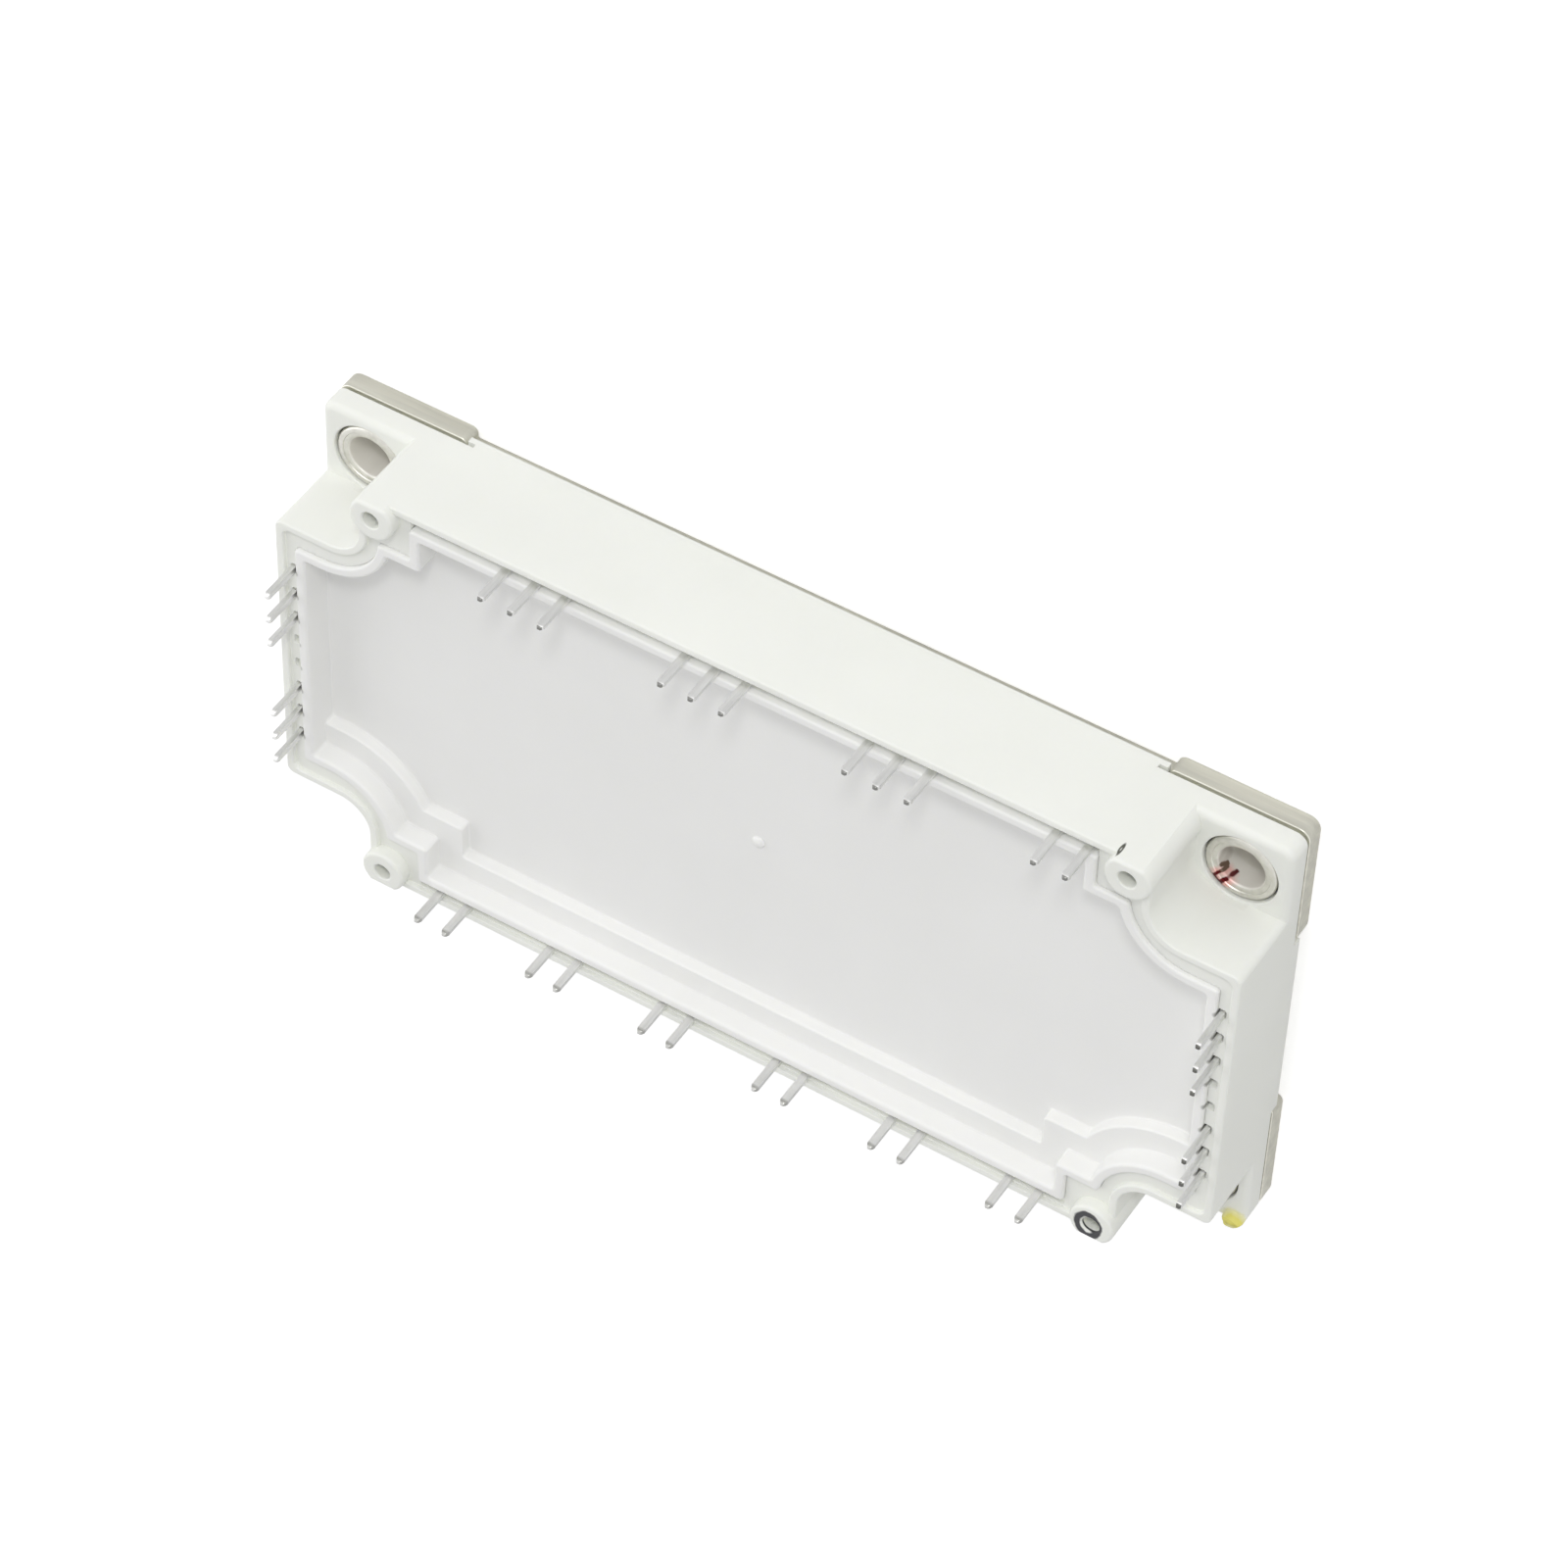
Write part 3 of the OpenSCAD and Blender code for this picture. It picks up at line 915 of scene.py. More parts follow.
@dataclass
class LidPlan:
    """The sizes and the stepped outline that the parts share."""

    half_l: float = 61.0        # half the module's length
    half_w: float = 31.0        # half its width
    end: float = 2.5            # from a short end to the lid
    side: float = 2.35          # from a long side to the lid
    hole_x: float = 55.0        # from the middle to a screw hole, along X
    hole_y: float = 25.0        # and along Y
    notch_r: float = 7.9        # radius of the lid's notch round a screw hole
    notch_side: float = 7.0     # from a long side to the lid's step
    notch_end: float = 18.0     # from a short end to the lid's step
    corner: float = 0.45        # radius of the outline's corners
    plate_t: float = 2.5        # thickness of the plate
    seat_z: float = 10.25       # height of the seat under the lid's edge
    rim_z: float = 15.6         # height of the rims of the frame and the lid
    seat_w: float = 1.45        # width of the seat
    over: float = 22.0          # height to which cutters reach, clear of everything
    arc_steps: int = 14         # chords in the notch and in the pockets' corners

    def outline(self, inset: float, end_inset: float) -> Outline:
        """The outline drawn in by one distance along the border and another at the ends.

        Args:
            inset: Distance along the border.
            end_inset: Distance at the short ends.

        Returns:
            The whole outline, counter-clockwise.
        """
        nx = self.half_l - self.notch_end - inset
        ny = self.half_w - self.notch_side - inset
        r = self.notch_r + inset
        first = 180.0 + math.degrees(math.asin((self.hole_y - ny) / r))
        quarter = [(nx, self.half_w - self.side - inset), (nx, ny)]
        quarter += arc(self.hole_x, self.hole_y, r, first, 270.0, self.arc_steps)
        quarter += [(self.half_l - self.end - end_inset, self.hole_y - r)]
        return softened(four_corners(quarter), self.corner)


@dataclass
class Housing:
    """The moulded frame: flanges, pockets, domes, lip, groove and end slots."""

    plan: LidPlan
    flange_z: float = 6.0           # height of the flanges
    flange_r: float = 1.5           # radius of their corners in plan
    flange_edge: float = 0.9        # radius on their upper edge
    flange_foot: float = 0.15       # radius on their lower edge
    body_rise: float = 1.5          # from the plate to where the upright body starts
    top_z: float = 15.0             # height of the frame inside its lip
    pocket_x: float = 11.4          # how far a pocket reaches in from the short end
    pocket_y: float = 10.5          # and from the long side
    pocket_r: float = 4.2           # radius of the pocket's corner
    end_corner_r: float = 1.0       # radius where the pocket meets the short end
    lip_w: float = 1.0              # width of the lip
    lip_foot: float = 0.12          # radius at its foot
    edge: float = 0.22              # radius on its edges
    dome_x: float = 47.25           # from the middle to a dome's axis, along X
    dome_y: float = 28.75           # and along Y
    dome_r: float = 2.8             # radius of a dome
    dome_z: float = 16.7            # height of its top
    dome_rise: float = 1.0          # from the plate to where it starts
    dome_edge: float = 0.4          # radius on its upper edge
    dome_hole_r: float = 1.1        # radius of its screw hole
    dome_hole_depth: float = 9.0    # depth of that hole
    dome_hole_edge: float = 0.15    # chamfer on that hole
    bush_hole_r: float = 4.5        # radius of the flange's hole round a bush
    bush_hole_edge: float = 0.25    # round edge on that hole
    shelf_z: float = 5.5            # height of the shelf inside the frame
    shelf_w: float = 2.6            # width of the shelf
    gap: float = 0.03               # play round the lid
    seat_edge: float = 0.06         # radius on the edge beside the lid
    groove_z: float = 14.35         # height of the bottom of the grooves and slots
    groove_out: float = 29.97       # from the middle to a groove's outer side
    groove_in: float = 0.5          # how far the cutters reach under the lid's edge
    groove_edge: float = 0.1        # radius on the edges and at the bottom of grooves and slots
    groove_r: float = 0.3           # radius of a groove's corners in plan
    slot_out: float = 59.47         # from the middle to a slot's outer side
    slot_l: float = 1.3             # length of a slot
    slot_r: float = 0.25            # radius of a slot's corners in plan
    pitch: float = 3.81             # from one slot to the next
    slots: int = 8                  # slots at each short end
    skirt_x: float = 43.95          # half the skirt's length on a long side
    skirt_y: float = 13.85          # half its length on a short end
    skirt_z: float = 1.6            # height of its lower edge
    skirt_up: float = 1.2           # how far it reaches up into the flange from the plate's top
    skirt_foot: float = 0.2         # radius on its lower edge
    skirt_in_y: float = 29.75       # from the middle to its inner face on a long side
    skirt_in_x: float = 60.15       # and on a short end
    relief: float = 0.5             # height of the shadow gap over the plate's ears
    relief_d: float = 0.9           # depth of that gap
    relief_lap: float = 1.0         # how far it runs in over the skirt's ends
    apart: float = 0.02             # keeps faces that would lie in one plane from each other
    outside: float = 2.0            # how far cutters stand out past the frame
    drop_at: Point = (59.6, -29.94)     # place of the lacquer drop
    drop_reach: Point = (1.25, 0.95)    # half its length and half its width
    drop_wave: Point = (0.07, 0.04)     # strengths of the two waves on its outline
    drop_h: float = 1.3                 # its height on the flange
    drop_hang: float = 0.9              # how far it hangs down the side
    drop_points: int = 28               # points in its outline

    def body(self, inset: float, dome_less: float = 0.0) -> Outline:
        """The upright body's outline with its four pockets left out.

        Args:
            inset: Distance inwards.
            dome_less: Taken off the radius beside the domes.

        Returns:
            The whole outline, counter-clockwise.
        """
        hl, hw = self.plan.half_l - inset, self.plan.half_w - inset
        px, py = self.plan.half_l - self.pocket_x, self.plan.half_w - self.pocket_y
        r = self.dome_r - inset - dome_less
        high = math.degrees(math.asin((hw - self.dome_y) / r))
        low = math.degrees(math.acos((px - inset - self.dome_x) / r))
        c = self.end_corner_r
        quarter = arc(self.dome_x, self.dome_y, r, high, -low, 10)
        quarter += arc(px + self.pocket_r, py + self.pocket_r, self.pocket_r + inset, 180.0, 270.0,
                       self.plan.arc_steps)
        quarter += arc(hl - c, py - inset - c, c, 90.0, 0.0, 6)
        return four_corners(quarter)

    def flange(self, inset: float) -> Outline:
        """The flange's outline, a rectangle with round corners.

        Args:
            inset: Distance inwards.

        Returns:
            The whole outline, counter-clockwise.
        """
        r = self.flange_r
        x, y = self.plan.half_l - inset - r, self.plan.half_w - inset - r
        return four_corners(arc(x, y, r, 90.0, 0.0, 10))

    def _mirrored(self, outline: Outline, rings: list[Ring]) -> MeshMaker:
        """A tool that stands in all four corners.

        Args:
            outline: Its outline in the +X +Y corner, counter-clockwise.
            rings: Pairs of inset and height, from the bottom up.

        Returns:
            A maker with the four solids.
        """
        maker = MeshMaker()
        for sx, sy in CORNERS:
            points = [(x * sx, y * sy) for x, y in outline]
            if sx * sy < 0:
                points.reverse()
            maker.stack(points, rings)
        return maker

    def _skirt(self) -> MeshMaker:
        """The skirt that laps down beside the plate between its ears.

        Returns:
            A maker with its four strips.
        """
        maker = MeshMaker()
        rings = block_rings(self.skirt_z, self.plan.plate_t + self.skirt_up, 0.0, self.skirt_foot)
        for s in (1, -1):
            ys = sorted((s * self.skirt_in_y, s * self.plan.half_w))
            xs = sorted((s * self.skirt_in_x, s * self.plan.half_l))
            maker.stack(box_outline(-self.skirt_x, ys[0], self.skirt_x, ys[1]), rings)
            maker.stack(box_outline(xs[0], -self.skirt_y, xs[1], self.skirt_y), rings)
        return maker

    def _relief(self) -> MeshMaker:
        """Cutter for the shadow gap between the flanges and the plate's ears.

        Returns:
            A maker with a cutter in each corner.
        """
        r, d = self.flange_r, self.relief_d
        x, y = self.plan.half_l - d, self.plan.half_w - d
        inner = arc(x - r, y - r, r, 90.0, 0.0, 8)
        far_x, far_y = self.plan.half_l + self.outside, self.plan.half_w + self.outside
        start = self.skirt_x - self.relief_lap
        z, low = self.plan.plate_t, self.skirt_y
        shape = [(start, y)] + inner + [(x, low), (far_x, low), (far_x, far_y), (start, far_y)]
        return self._mirrored(list(reversed(shape)), block_rings(z - self.apart, z + self.relief))

    def _lacquer(self) -> MeshMaker:
        """The thick drop of marking lacquer on one flange corner.

        Returns:
            A maker with the drop.
        """
        points = []
        three, five = self.drop_wave
        for k in range(self.drop_points):
            a = 2 * math.pi * k / self.drop_points
            r = 1.0 + three * math.sin(3 * a + 1.0) + five * math.sin(5 * a)
            points.append((self.drop_at[0] + self.drop_reach[0] * r * math.cos(a),
                           self.drop_at[1] + self.drop_reach[1] * r * math.sin(a)))
        z, top = self.flange_z, self.flange_z + self.drop_h
        return solid(points, [(0.0, z - self.drop_hang), (0.0, z + 0.5), (0.1, z + 0.9),
                              (0.3, top - 0.12), (0.6, top - 0.03), (0.9, top)])

    def _domes(self) -> MeshMaker:
        """The four screw domes, flat where they meet the long walls.

        Returns:
            A maker with the domes.
        """
        high = math.degrees(math.asin((self.plan.half_w - self.dome_y) / self.dome_r))
        shape = arc(self.dome_x, self.dome_y, self.dome_r, 180.0 - high, 360.0 + high, 40)
        foot = self.plan.plate_t + self.dome_rise
        return self._mirrored(shape, block_rings(foot, self.dome_z, self.dome_edge))

    def _grooves(self) -> MeshMaker:
        """Cutter for the long grooves and the single slots of the short ends.

        Returns:
            A maker with all of them.
        """
        maker = MeshMaker()
        e = self.groove_edge
        rings = recess_rings(self.groove_z, self.top_z, self.plan.over, e, e, 2)
        long = self.plan.half_l - self.plan.notch_end
        lid_y = self.plan.half_w - self.plan.side - self.groove_in
        lid_x = self.plan.half_l - self.plan.end - self.groove_in
        for s in (1, -1):
            ys = sorted((s * lid_y, s * self.groove_out))
            maker.stack(softened(box_outline(-long, ys[0], long, ys[1]), self.groove_r), rings)
            for k in range(self.slots):
                y, half = ((self.slots - 1) / 2 - k) * self.pitch, self.slot_l / 2
                xs = sorted((s * lid_x, s * self.slot_out))
                maker.stack(softened(box_outline(xs[0], y - half, xs[1], y + half), self.slot_r), rings)
        return maker

    def _round_holes(self) -> MeshMaker:
        """Cutter for the holes of the bushes and of the domes.

        Returns:
            A maker with all eight.
        """
        maker = MeshMaker()
        z, over = self.flange_z, self.plan.over
        for sx, sy in CORNERS:
            r, e = self.bush_hole_r, self.bush_hole_edge
            maker.lathe(sx * self.plan.hole_x, sy * self.plan.hole_y, [
                (AXIS, 1.0), (r, 1.0), (r, z - e), (r + 0.07, z - 0.1), (r + e, z), (r + e, z + 1),
                (AXIS, z + 1)], 64)
            r, e, foot = self.dome_hole_r, self.dome_hole_edge, self.dome_z - self.dome_hole_depth
            maker.lathe(sx * self.dome_x, sy * self.dome_y, [
                (AXIS, foot), (r, foot), (r, self.dome_z - e), (r + e, self.dome_z), (r + e, over),
                (AXIS, over)], 32)
        return maker

    def build(self, material: Material) -> Piece:
        """Builds and dresses the frame.

        Args:
            material: Its plastic.

        Returns:
            The new piece.
        """
        plan, e, over = self.plan, self.edge, self.plan.over
        upright = block_rings(plan.plate_t + self.body_rise, plan.rim_z, e)
        body = solid(self.body(0.0, self.apart), upright)
        piece = body.done("housing_frame")
        deep, shallow = plan.seat_w + self.shelf_w, plan.seat_w
        flange = block_rings(plan.plate_t, self.flange_z, self.flange_edge, self.flange_foot)
        lip = recess_rings(self.top_z, plan.rim_z, over, self.lip_foot, e)
        seat = recess_rings(plan.seat_z, self.top_z, over, 0.0, self.seat_edge, 2)
        carve(piece, [
            (Cut.ADD, solid(self.flange(0.0), flange)),
            (Cut.ADD, self._lacquer()),
            (Cut.ADD, self._skirt()),
            (Cut.TAKE, solid(self.body(self.lip_w), lip)),
            (Cut.ADD, self._domes()),
            (Cut.TAKE, solid(plan.outline(-self.gap, -self.gap), seat)),
            (Cut.TAKE, solid(plan.outline(shallow, shallow), block_rings(self.shelf_z, over))),
            (Cut.TAKE, solid(plan.outline(deep, deep), block_rings(plan.plate_t - 1, over))),
            (Cut.TAKE, self._grooves()),
            (Cut.TAKE, self._relief()),
            (Cut.TAKE, self._round_holes()),
        ])
        finish_mesh(piece)
        settle(piece, material, ["frame"])
        return piece


@dataclass
class LidTray:
    """The recessed lid: raised border, ledge on the front half, flat floor and gate mark."""

    plan: LidPlan
    ledge_z: float = 13.0       # height of the ledge
    floor_z: float = 11.45      # height of the floor
    border_w: float = 1.3       # width of the raised border
    ledge_w: float = 3.2        # width of the ledge
    edge: float = 0.4           # radius on the border's inner edge
    rim_edge: float = 0.3       # radius on its outer edge
    under_edge: float = 0.1     # radius on the lid's lower edge
    ledge_foot: float = 0.2     # radius where the border meets the ledge
    floor_foot: float = 0.25    # radius where a wall meets the floor, and on the ledge's edge
    clear: float = 0.8          # how far the floor's front cutter stands up past the ledge
    lap: float = 0.5            # how far each half recess reaches over the middle line
    hold_in: float = 1.2        # points this close to the border's short ends keep their X
    over: float = 20.0          # height to which cutters reach
    gate_y: float = 0.7         # place of the gate mark
    gate_r: float = 0.8         # its radius
    gate_h: float = 0.4         # its height

    def _half(self, outline: Outline, side: int) -> Outline:
        """The part of an outline on one side of the middle line, with a short lap over it.

        Args:
            outline: Whole outline, counter-clockwise.
            side: 1 for the back half, -1 for the front half.

        Returns:
            The half outline, counter-clockwise.
        """
        count = len(outline)
        start = next(k for k in range(count) if outline[k][1] * side > 0 >= outline[k - 1][1] * side)
        part = [outline[(start + k) % count] for k in range(count)]
        part = [p for p in part if p[1] * side > 0]
        return [(part[0][0], -side * self.lap)] + part + [(part[-1][0], -side * self.lap)]

    def build(self, material: Material) -> Piece:
        """Builds and dresses the lid.

        Args:
            material: Its plastic.

        Returns:
            The new piece.
        """
        plan, b, floor, r = self.plan, self.border_w, self.floor_z, self.gate_r
        whole = block_rings(plan.seat_z, plan.rim_z, self.rim_edge, self.under_edge)
        piece = solid(plan.outline(0.0, 0.0), whole).done("lid_tray")
        hold = plan.half_l - plan.end - b - self.hold_in
        gate = [(AXIS, floor - 0.3), (r, floor - 0.3), (r, floor + self.gate_h * 0.2),
                (r - 0.12, floor + self.gate_h * 0.6), (r - 0.35, floor + self.gate_h * 0.9),
                (AXIS, floor + self.gate_h)]
        foot = self.floor_foot
        upper = recess_rings(self.ledge_z, plan.rim_z, self.over, self.ledge_foot, self.edge)
        front = recess_rings(floor, self.ledge_z, self.ledge_z + self.clear, foot, foot)
        back = recess_rings(floor, plan.rim_z, self.over, foot)
        carve(piece, [
            (Cut.TAKE, solid(plan.outline(b, b), upper)),
            (Cut.TAKE, solid(self._half(plan.outline(b + self.ledge_w, b), -1), front, hold)),
            (Cut.TAKE, solid(self._half(plan.outline(b, b), 1), back)),
            (Cut.ADD, MeshMaker().lathe(0.0, self.gate_y, gate, 32)),
        ])
        finish_mesh(piece)
        settle(piece, material, ["lid"])
        return piece


@dataclass
class Baseplate:
    """The metal plate with its four ears and holes."""

    plan: LidPlan
    corner_r: float = 1.5       # radius of the plate's corners
    ear_x: float = 16.9         # length of an ear on a long side
    ear_y: float = 17.0         # and on a short end
    ear_r: float = 0.9          # radius at an ear's inner end
    side_step: float = 1.4      # how far the plate stands back between ears on a long side
    end_step: float = 1.0       # and on a short end
    step_r: float = 0.4         # radius of the corners where it steps back
    top_edge: float = 0.15      # radius on the upper edge
    low_edge: float = 0.25      # radius on the lower edge
    hole_r: float = 2.75        # radius of the screw holes
    under: float = 0.3          # chamfer under them

    def build(self, material: Material) -> Piece:
        """Builds and dresses the plate.

        Args:
            material: Its metal.

        Returns:
            The new piece.
        """
        hl, hw, r, thick = self.plan.half_l, self.plan.half_w, self.corner_r, self.plan.plate_t
        x, y = hl - self.ear_x, hw - self.ear_y
        e = self.ear_r
        quarter = [(x, hw - self.side_step)] + arc(x + e, hw - e, e, 180.0, 90.0, 6)
        quarter += arc(hl - r, hw - r, r, 90.0, 0.0, 10)
        quarter += arc(hl - e, y + e, e, 0.0, -90.0, 6) + [(hl - self.end_step, y)]
        outline = softened(four_corners(quarter), self.step_r)
        piece = solid(outline, block_rings(0.0, thick, self.top_edge, self.low_edge)).done("base_metal")
        holes, h, u = MeshMaker(), self.hole_r, self.under
        for sx, sy in CORNERS:
            holes.lathe(sx * self.plan.hole_x, sy * self.plan.hole_y, [
                (AXIS, -1.0), (h + u, -1.0), (h + u, 0.0), (h, u), (h, thick + 1), (AXIS, thick + 1)], 64)
        carve(piece, [(Cut.TAKE, holes)])
        finish_mesh(piece)
        settle(piece, material, ["baseplate"])
        return piece


@dataclass
class Bushes:
    """The turned metal bushes in the corner pockets."""

    outer_r: float = 4.3
    inner_r: float = 2.75
    z0: float = 2.5             # height of the lower face, on the plate
    z1: float = 5.75            # height of the upper face

    def build(self, material: Material) -> list[Piece]:
        """Builds and dresses the four bushes.

        Args:
            material: Their metal.

        Returns:
            The new pieces.
        """
        made = []
        o, i, top = self.outer_r, self.inner_r, self.z1
        profile = [(i, self.z0), (o, self.z0), (o, top - 0.3), (o - 0.1, top - 0.1), (o - 0.3, top),
                   (o - 0.75, top), (o - 0.85, top - 0.12), (i + 0.3, top - 0.12), (i + 0.08, top - 0.2),
                   (i, top - 0.4)]
        for k in range(1, 5):
            low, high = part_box(f"bush_{k}")
            x, y = ((low[a] + high[a]) / 2 / MM for a in (0, 1))
            piece = MeshMaker().lathe(x, y, profile, 64).done(f"turned_bush_{k}")
            finish_mesh(piece, 50.0)
            settle(piece, material, [f"bush_{k}"])
            made.append(piece)
        return made


class Row(Enum):
    """A row of pins and the direction in which its feet point."""

    FRONT = ("front", 12, 0.0)
    BACK = ("back", 11, 180.0)
    LEFT = ("left", 6, -90.0)
    RIGHT = ("right", 6, 90.0)


@dataclass
class Pins:
    """The flat solder pins with their coined tips."""

    width: float = 1.0          # along the row
    thick: float = 0.65         # across the row
    tip: float = 0.3            # half the height of the coined tip
    edge: float = 0.12          # radius on the upright edges
    foot_l: float = 4.4         # length of the foot, which points inwards

    def _pin(self, name: str, turn: float) -> Piece:
        """Builds one pin where its solid stands.

        Args:
            name: Name of the CAD node.
            turn: Turn of the row about Z, in degrees.

        Returns:
            The new piece.
        """
        low, high = (Vector(v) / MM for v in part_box(name))
        back = Matrix.Rotation(math.radians(-turn), 2)
        near, far = back @ low.xy, back @ high.xy
        x = (near.x + far.x) / 2
        y = min(near.y, far.y) + self.thick / 2
        w, t = self.width / 2, self.thick / 2
        section = softened(box_outline(-w, -t, w, t), self.edge, 2)
        maker = MeshMaker()
        loops = []
        top, tip = high.z, self.tip
        # Height, and what the section loses there in width and in thickness, on each side.
        for z, narrow, thin in ((low.z, 0.0, 0.0), (top - 2 * tip, 0.0, 0.0), (top - tip, tip * 0.45, 0.02),
                                (top - 0.06, tip * 0.95, 0.12), (top, tip * 1.2, 0.2)):
            kx, ky = (w - narrow) / w, (t - thin) / t
            loops.append([maker.shell.verts.new((px * kx + x, py * ky + y, z)) for px, py in section])
        maker.close(loops)
        maker.stack(box_outline(x - w, y, x + w, y + self.foot_l), block_rings(low.z, low.z + self.thick))
        bmesh.ops.rotate(maker.shell, cent=(0, 0, 0), verts=maker.shell.verts,
                         matrix=Matrix.Rotation(math.radians(turn), 3, "Z"))
        piece = maker.done(f"solder_{name}")
        finish_mesh(piece, 40.0)
        return piece

    def build(self, material: Material) -> list[Piece]:
        """Builds and dresses every pin.

        Args:
            material: Their metal.

        Returns:
            The new pieces.
        """
        made = []
        for row in Row:
            word, count, turn = row.value
            for k in range(1, count + 1):
                name = f"pin_{word}_{k}"
                piece = self._pin(name, turn)
                settle(piece, material, [name])
                made.append(piece)
        return made


@dataclass
class SealedCircuit:
    """The circuit under the lid, which keeps its solids and gets their materials."""

    nodes: dict[str, Piece]

    def dress(self, materials: dict[str, Material]) -> None:
        """Gives each inner node its material.

        Args:
            materials: Material for each start of a node's name.
        """
        for name, piece in self.nodes.items():
            for start, material in materials.items():
                if name.startswith(start):
                    piece.data.materials.clear()
                    piece.data.materials.append(material)
                    LOG.info("%s: %s", name, material.name)


# ---------------------------------------------------------------- studio

@dataclass(frozen=True)
class Lamp:
    """A round area lamp aimed at the module."""

    name: str
    place: Triple               # direction from the module
    power: float                # strength, the same from any distance
    size: float                 # its diameter, in metres
    away: float = 2.0           # its distance, in metres

    def hang(self) -> None:
        """Adds the lamp to the scene."""
        data = bpy.data.lights.new(self.name, "AREA")
        data.shape = "DISK"
        data.size = self.size
        data.energy = self.power * math.pi * math.pi * self.away * self.away
        made = bpy.data.objects.new(self.name, data)
        aim = Vector(self.place).normalized()
        turn = aim.to_track_quat("Z", "Y").to_matrix().to_4x4()
        made.matrix_world = Matrix.Translation(aim * self.away) @ turn
        bpy.context.scene.collection.objects.link(made)


@dataclass
class Studio:
    """Floor, even light of the room, lamps and camera."""

    eye: Triple = (221.11, 487.55, 385.78)      # place of the camera, in millimetres
    right: Triple = (0.84864935, 0.02764906, -0.52823272)       # its three axes
    down: Triple = (0.40692365, -0.67214484, 0.61857454)
    ahead: Triple = (-0.33794589, -0.73990327, -0.58166633)
    lens: float = 136.643                       # in millimetres, as is the sensor
    sensor: float = 36.0
    shift: Point = (-0.00335, 0.00377)          # as a share of the frame
    clip: Span = (0.01, 20.0)                   # nearest and furthest that it sees, in metres
    ambient: float = 0.55                       # level of the room's light
    floor_half: float = 2500.0                  # half the floor's side
    floor_r: float = 400.0                      # radius of its corners
    floor_t: float = 4.0                        # depth of its underside
    floor_gap: float = 0.02                     # from the floor to the plate
    paper: Colour = (0.86, 0.86, 0.86)          # colour of the floor
    whiten: float = 0.45                        # what the camera alone sees on top of that colour
    lamps: tuple[Lamp, ...] = (
        Lamp("key", (0.26, 0.83, 0.49), 0.24, 0.3),
        Lamp("front_panel", (0.1, 1.0, 0.35), 0.2, 3.0),
        Lamp("left_panel", (-1.0, 0.15, 0.35), 0.5, 3.0),
        Lamp("right_panel", (1.0, -0.1, 0.3), 0.04, 1.5),
    )

    def camera(self) -> None:
        """Sets the camera at the asked angle."""
        data = bpy.data.cameras.new("view")
        data.sensor_width = self.sensor
        data.lens = self.lens
        data.shift_x, data.shift_y = self.shift
        data.clip_start, data.clip_end = self.clip
        made = bpy.data.objects.new("view", data)
        axes = Matrix((self.right, [-v for v in self.down], [-v for v in self.ahead])).transposed()
        made.matrix_world = Matrix.Translation(Vector(self.eye) * MM) @ axes.to_4x4()
        bpy.context.scene.collection.objects.link(made)
        bpy.context.scene.camera = made

    def floor(self) -> None:
        """Lays the pale floor, which turns white for the camera and keeps the shadow."""
        half = self.floor_half
        sheet = softened(box_outline(-half, -half, half, half), self.floor_r, 8)
        made = solid(sheet, [(0.0, -self.floor_t), (0.0, -self.floor_gap)]).done("studio_floor")
        s = Shader("floor_white")
        s.bsdf.inputs["Base Color"].default_value = (*self.paper, 1.0)
        s.set("Roughness", 0.9)
        s.set("Specular IOR Level", 0.1)
        ray = s.tree.nodes.new("ShaderNodeLightPath")
        gain = s.tree.nodes.new("ShaderNodeMath")
        gain.operation = "MULTIPLY"
        gain.inputs[1].default_value = self.whiten
        s.tree.links.new(ray.outputs["Is Camera Ray"], gain.inputs[0])
        s.bsdf.inputs["Emission Color"].default_value = (1.0, 1.0, 1.0, 1.0)
        s.tree.links.new(gain.outputs[0], s.bsdf.inputs["Emission Strength"])
        made.data.materials.append(s.material)

    def light(self) -> None:
        """Sets the even light of the room and hangs the lamps."""
        world = bpy.data.worlds.new("room")
        bpy.context.scene.world = world
        world.use_nodes = True
        tree = world.node_tree
        back = tree.nodes["Background"]
        back.inputs["Color"].default_value = (1.0, 1.0, 1.0, 1.0)
        ray = tree.nodes.new("ShaderNodeLightPath")
        seen = tree.nodes.new("ShaderNodeMath")
        seen.operation = "MAXIMUM"
        tree.links.new(ray.outputs["Is Camera Ray"], seen.inputs[0])
        tree.links.new(ray.outputs["Is Glossy Ray"], seen.inputs[1])
        level = tree.nodes.new("ShaderNodeMapRange")
        level.inputs["To Min"].default_value = self.ambient
        level.inputs["To Max"].default_value = 1.0
        tree.links.new(seen.outputs[0], level.inputs["Value"])
        tree.links.new(level.outputs["Result"], back.inputs["Strength"])
        for lamp in self.lamps:
            lamp.hang()

    def build(self) -> None:
        """Sets up the whole studio."""
        self.camera()
        self.floor()
        self.light()
        bpy.context.scene.view_settings.view_transform = "Standard"


# ---------------------------------------------------------------- finishes of this module

# Paint and ink on the moulded frame, and a painted shadow in a crease. Places are in millimetres in the row
# frame.
BLACK_RING = Dab((0.045, 0.045, 0.05), (46.95, -28.85, 16.7), (1.85, 2.3, 0.5),
                 hole=0.5, uneven=0.2, soft=0.1)
YELLOW_DAB = Dab((0.76, 0.70, 0.17), (59.7, -30.3, 6.8), (2.2, 2.0, 1.7), soft=0.4)
# Painted shadow in the crease where the +X +Y dome meets the long wall.
CREASE_SHADOW = Dab((0.10, 0.10, 0.08), (45.5, 31.0, 15.1), (0.26, 0.6, 1.25), soft=0.3)

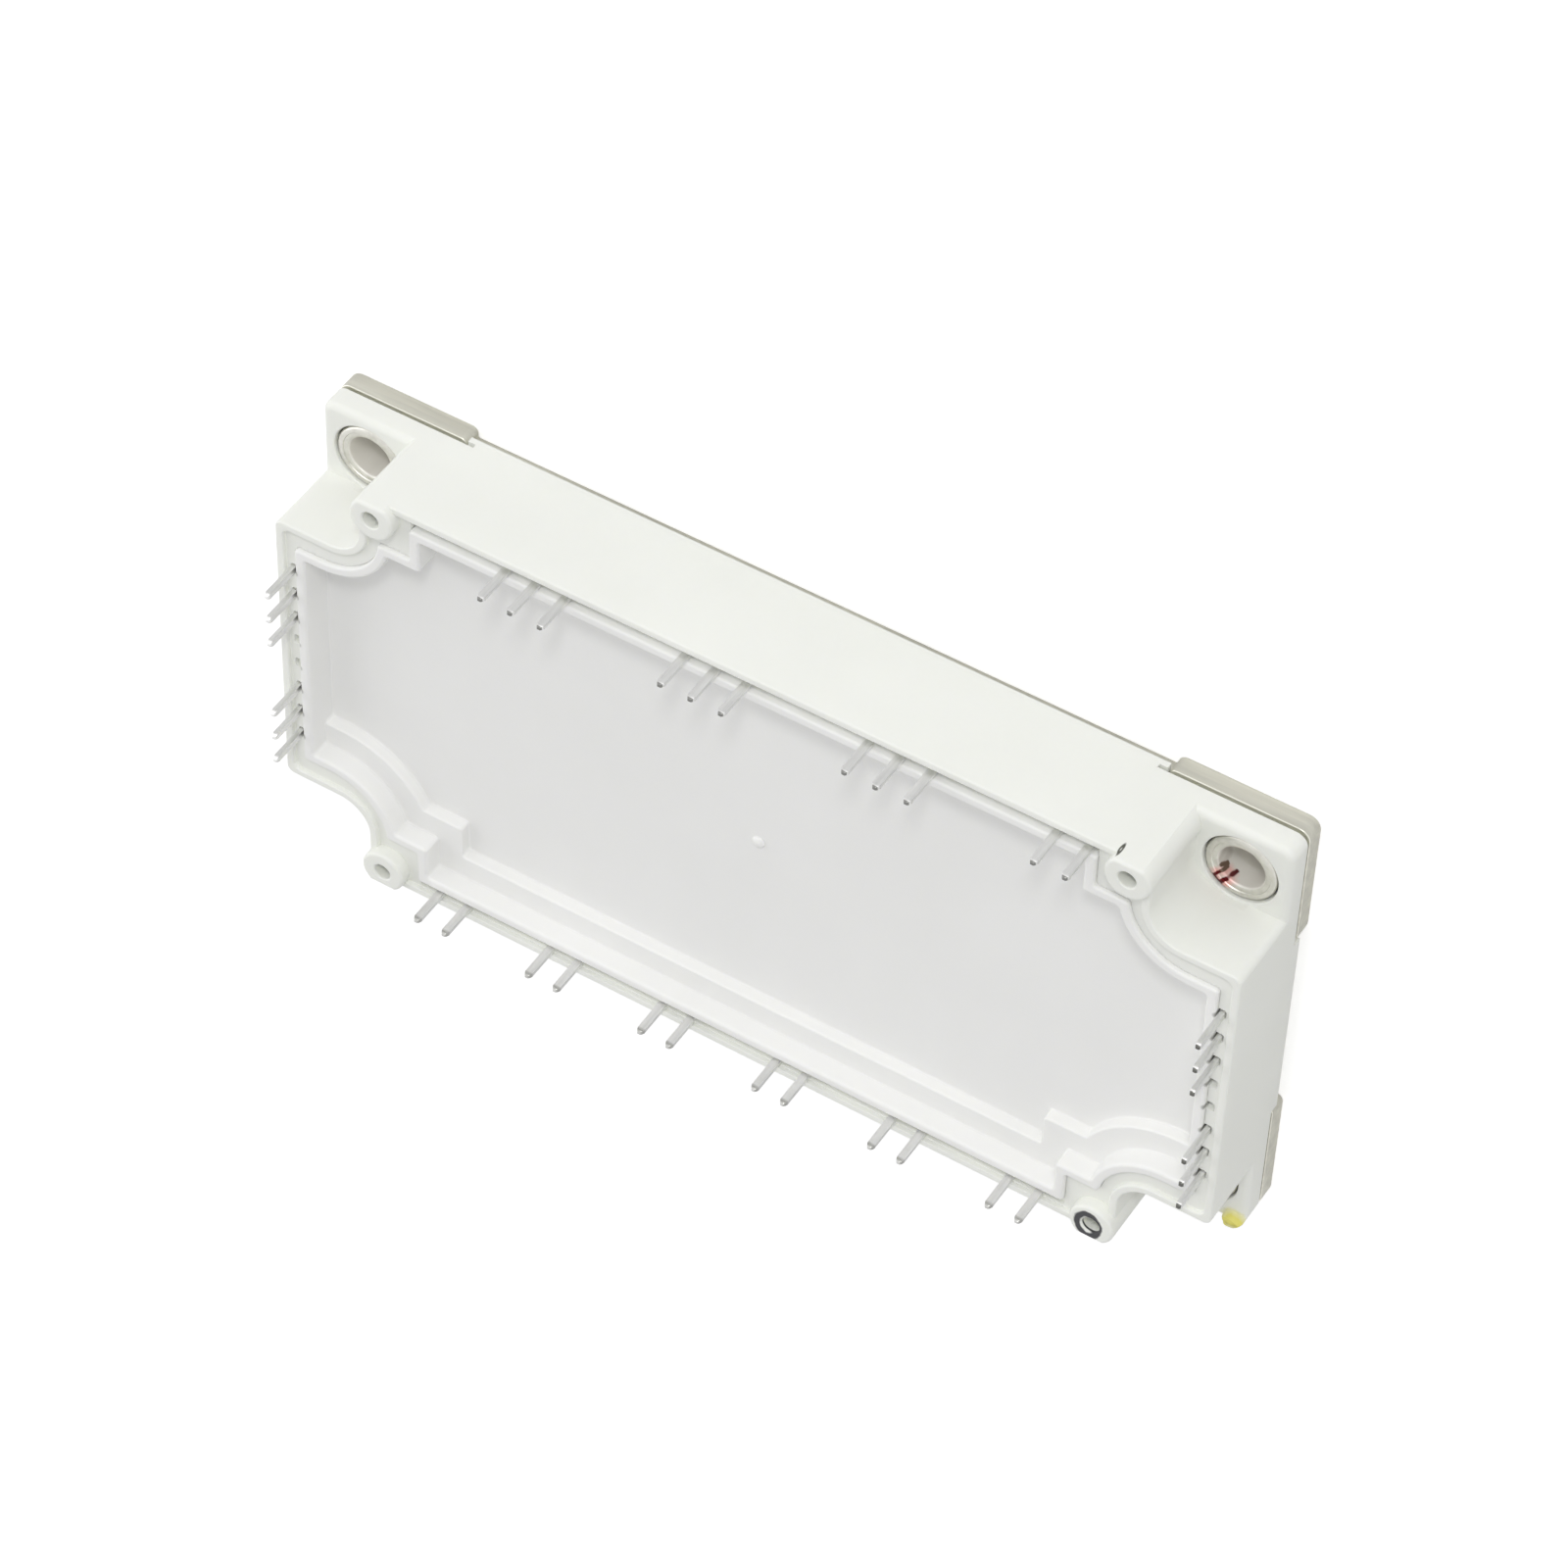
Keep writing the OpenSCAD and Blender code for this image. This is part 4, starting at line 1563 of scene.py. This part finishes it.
# Pen marks on the turned bush at +X +Y.
RED_WASH = Dab((0.82, 0.42, 0.38), (53.0, 22.4, 5.4), (1.8, 1.6, 1.9), uneven=0.6, soft=0.55)
INK_DAB = Dab((0.25, 0.18, 0.14), (52.5, 24.2, 4.4), (0.9, 1.3, 1.9), uneven=0.8, soft=1.0)
RED_INK = (0.10, 0.008, 0.01)
BROWN_INK = (0.15, 0.095, 0.065)
PEN_STROKES = (
    Stroke(RED_INK, (52.1, 22.1, 5.65), (52.75, 21.5, 5.65), 0.36),
    Stroke(RED_INK, (52.75, 21.6, 5.65), (53.45, 22.35, 5.6), 0.32),
    Stroke(RED_INK, (53.45, 22.4, 5.6), (53.9, 22.45, 4.15), 0.32),
    Stroke(RED_INK, (52.05, 22.3, 5.65), (52.75, 23.15, 5.6), 0.26),
    Stroke(BROWN_INK, (52.8, 23.2, 5.5), (52.95, 23.1, 4.6), 0.3),
    Stroke(BROWN_INK, (52.5, 23.7, 5.3), (52.85, 23.3, 4.3), 0.3),
)

# Painted shade on the ends of the pins, which also dims the glint on their chamfers; darkest on the right
# row, lightest on the front row, none on the left row. A row's dab is longer than the row.
ALONG = 500.0
BACK_TIP_SHADE = Dab((0.22, 0.22, 0.21), (0.0, 29.2, 20.7), (ALONG, 1.5, 0.5), soft=0.15)
RIGHT_TIP_SHADE = Dab((0.13, 0.13, 0.12), (59.1, 0.0, 20.7), (1.5, ALONG, 0.5), soft=0.15)
FRONT_TIP_SHADE = Dab((0.40, 0.40, 0.38), (0.0, -29.2, 20.7), (ALONG, 1.5, 1.0), soft=0.4)

IVORY = MouldedPlastic("ivory_moulding", (0.875, 0.885, 0.84), (0.845, 0.855, 0.81),
                       dabs=(BLACK_RING, YELLOW_DAB, CREASE_SHADOW))
PALE = MouldedPlastic("pale_lid", (0.89, 0.89, 0.875), (0.86, 0.86, 0.845))
PLATE = PlatedMetal("nickel_plate", (0.80, 0.79, 0.705), (0.65, 0.64, 0.57), bore=(0.80, 0.78, 0.72))
BUSH = PlatedMetal("nickel_bush", (0.76, 0.75, 0.70), (0.64, 0.63, 0.58), stretch=(1.0, 1.0, 0.2),
                   bore=(0.82, 0.80, 0.75), dabs=(RED_WASH, INK_DAB), strokes=PEN_STROKES)
TINNED = PlatedMetal("tinned_pin", (0.85, 0.85, 0.84), (0.75, 0.75, 0.74), stretch=(1.0, 1.0, 0.06),
                     scale=2500.0, dabs=(BACK_TIP_SHADE, RIGHT_TIP_SHADE, FRONT_TIP_SHADE))
COPPER = PlatedMetal("plain_copper", (0.80, 0.45, 0.28), (0.66, 0.35, 0.21))
WIRE = PlatedMetal("bond_aluminium", (0.85, 0.85, 0.86), (0.75, 0.75, 0.76))
CERAMIC = PlainMineral("white_ceramic", (0.86, 0.86, 0.84), (0.80, 0.80, 0.78))
SILICON = PlainMineral("chip_silicon", (0.36, 0.37, 0.40), (0.28, 0.29, 0.32), (0.2, 0.3), 0.6)
GEL = PlainMineral("clear_gel", (0.80, 0.84, 0.85), (0.74, 0.78, 0.80), (0.08, 0.14))
DARK = PlainMineral("dark_sensor", (0.10, 0.10, 0.11), (0.06, 0.06, 0.07))


def main() -> None:
    """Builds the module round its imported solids."""
    logging.basicConfig(level=logging.INFO, format="%(name)s: %(message)s")
    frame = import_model()
    effects = Effects()
    plan = LidPlan()
    Studio().build()
    Baseplate(plan).build(PLATE.make(effects))
    Housing(plan).build(IVORY.make(effects))
    LidTray(plan).build(PALE.make(effects))
    Bushes().build(BUSH.make(effects))
    Pins().build(TINNED.make(effects))
    copper = COPPER.make(effects)
    SealedCircuit(frame["nodes"]).dress({
        "bottom_copper": copper, "top_copper": copper, "ceramic": CERAMIC.make(effects),
        "igbt_chips": SILICON.make(effects), "diode_chips": SILICON.make(effects),
        "bond_wires": WIRE.make(effects), "gel": GEL.make(effects), "thermistor": DARK.make(effects)})


if __name__ == "__main__":
    main()
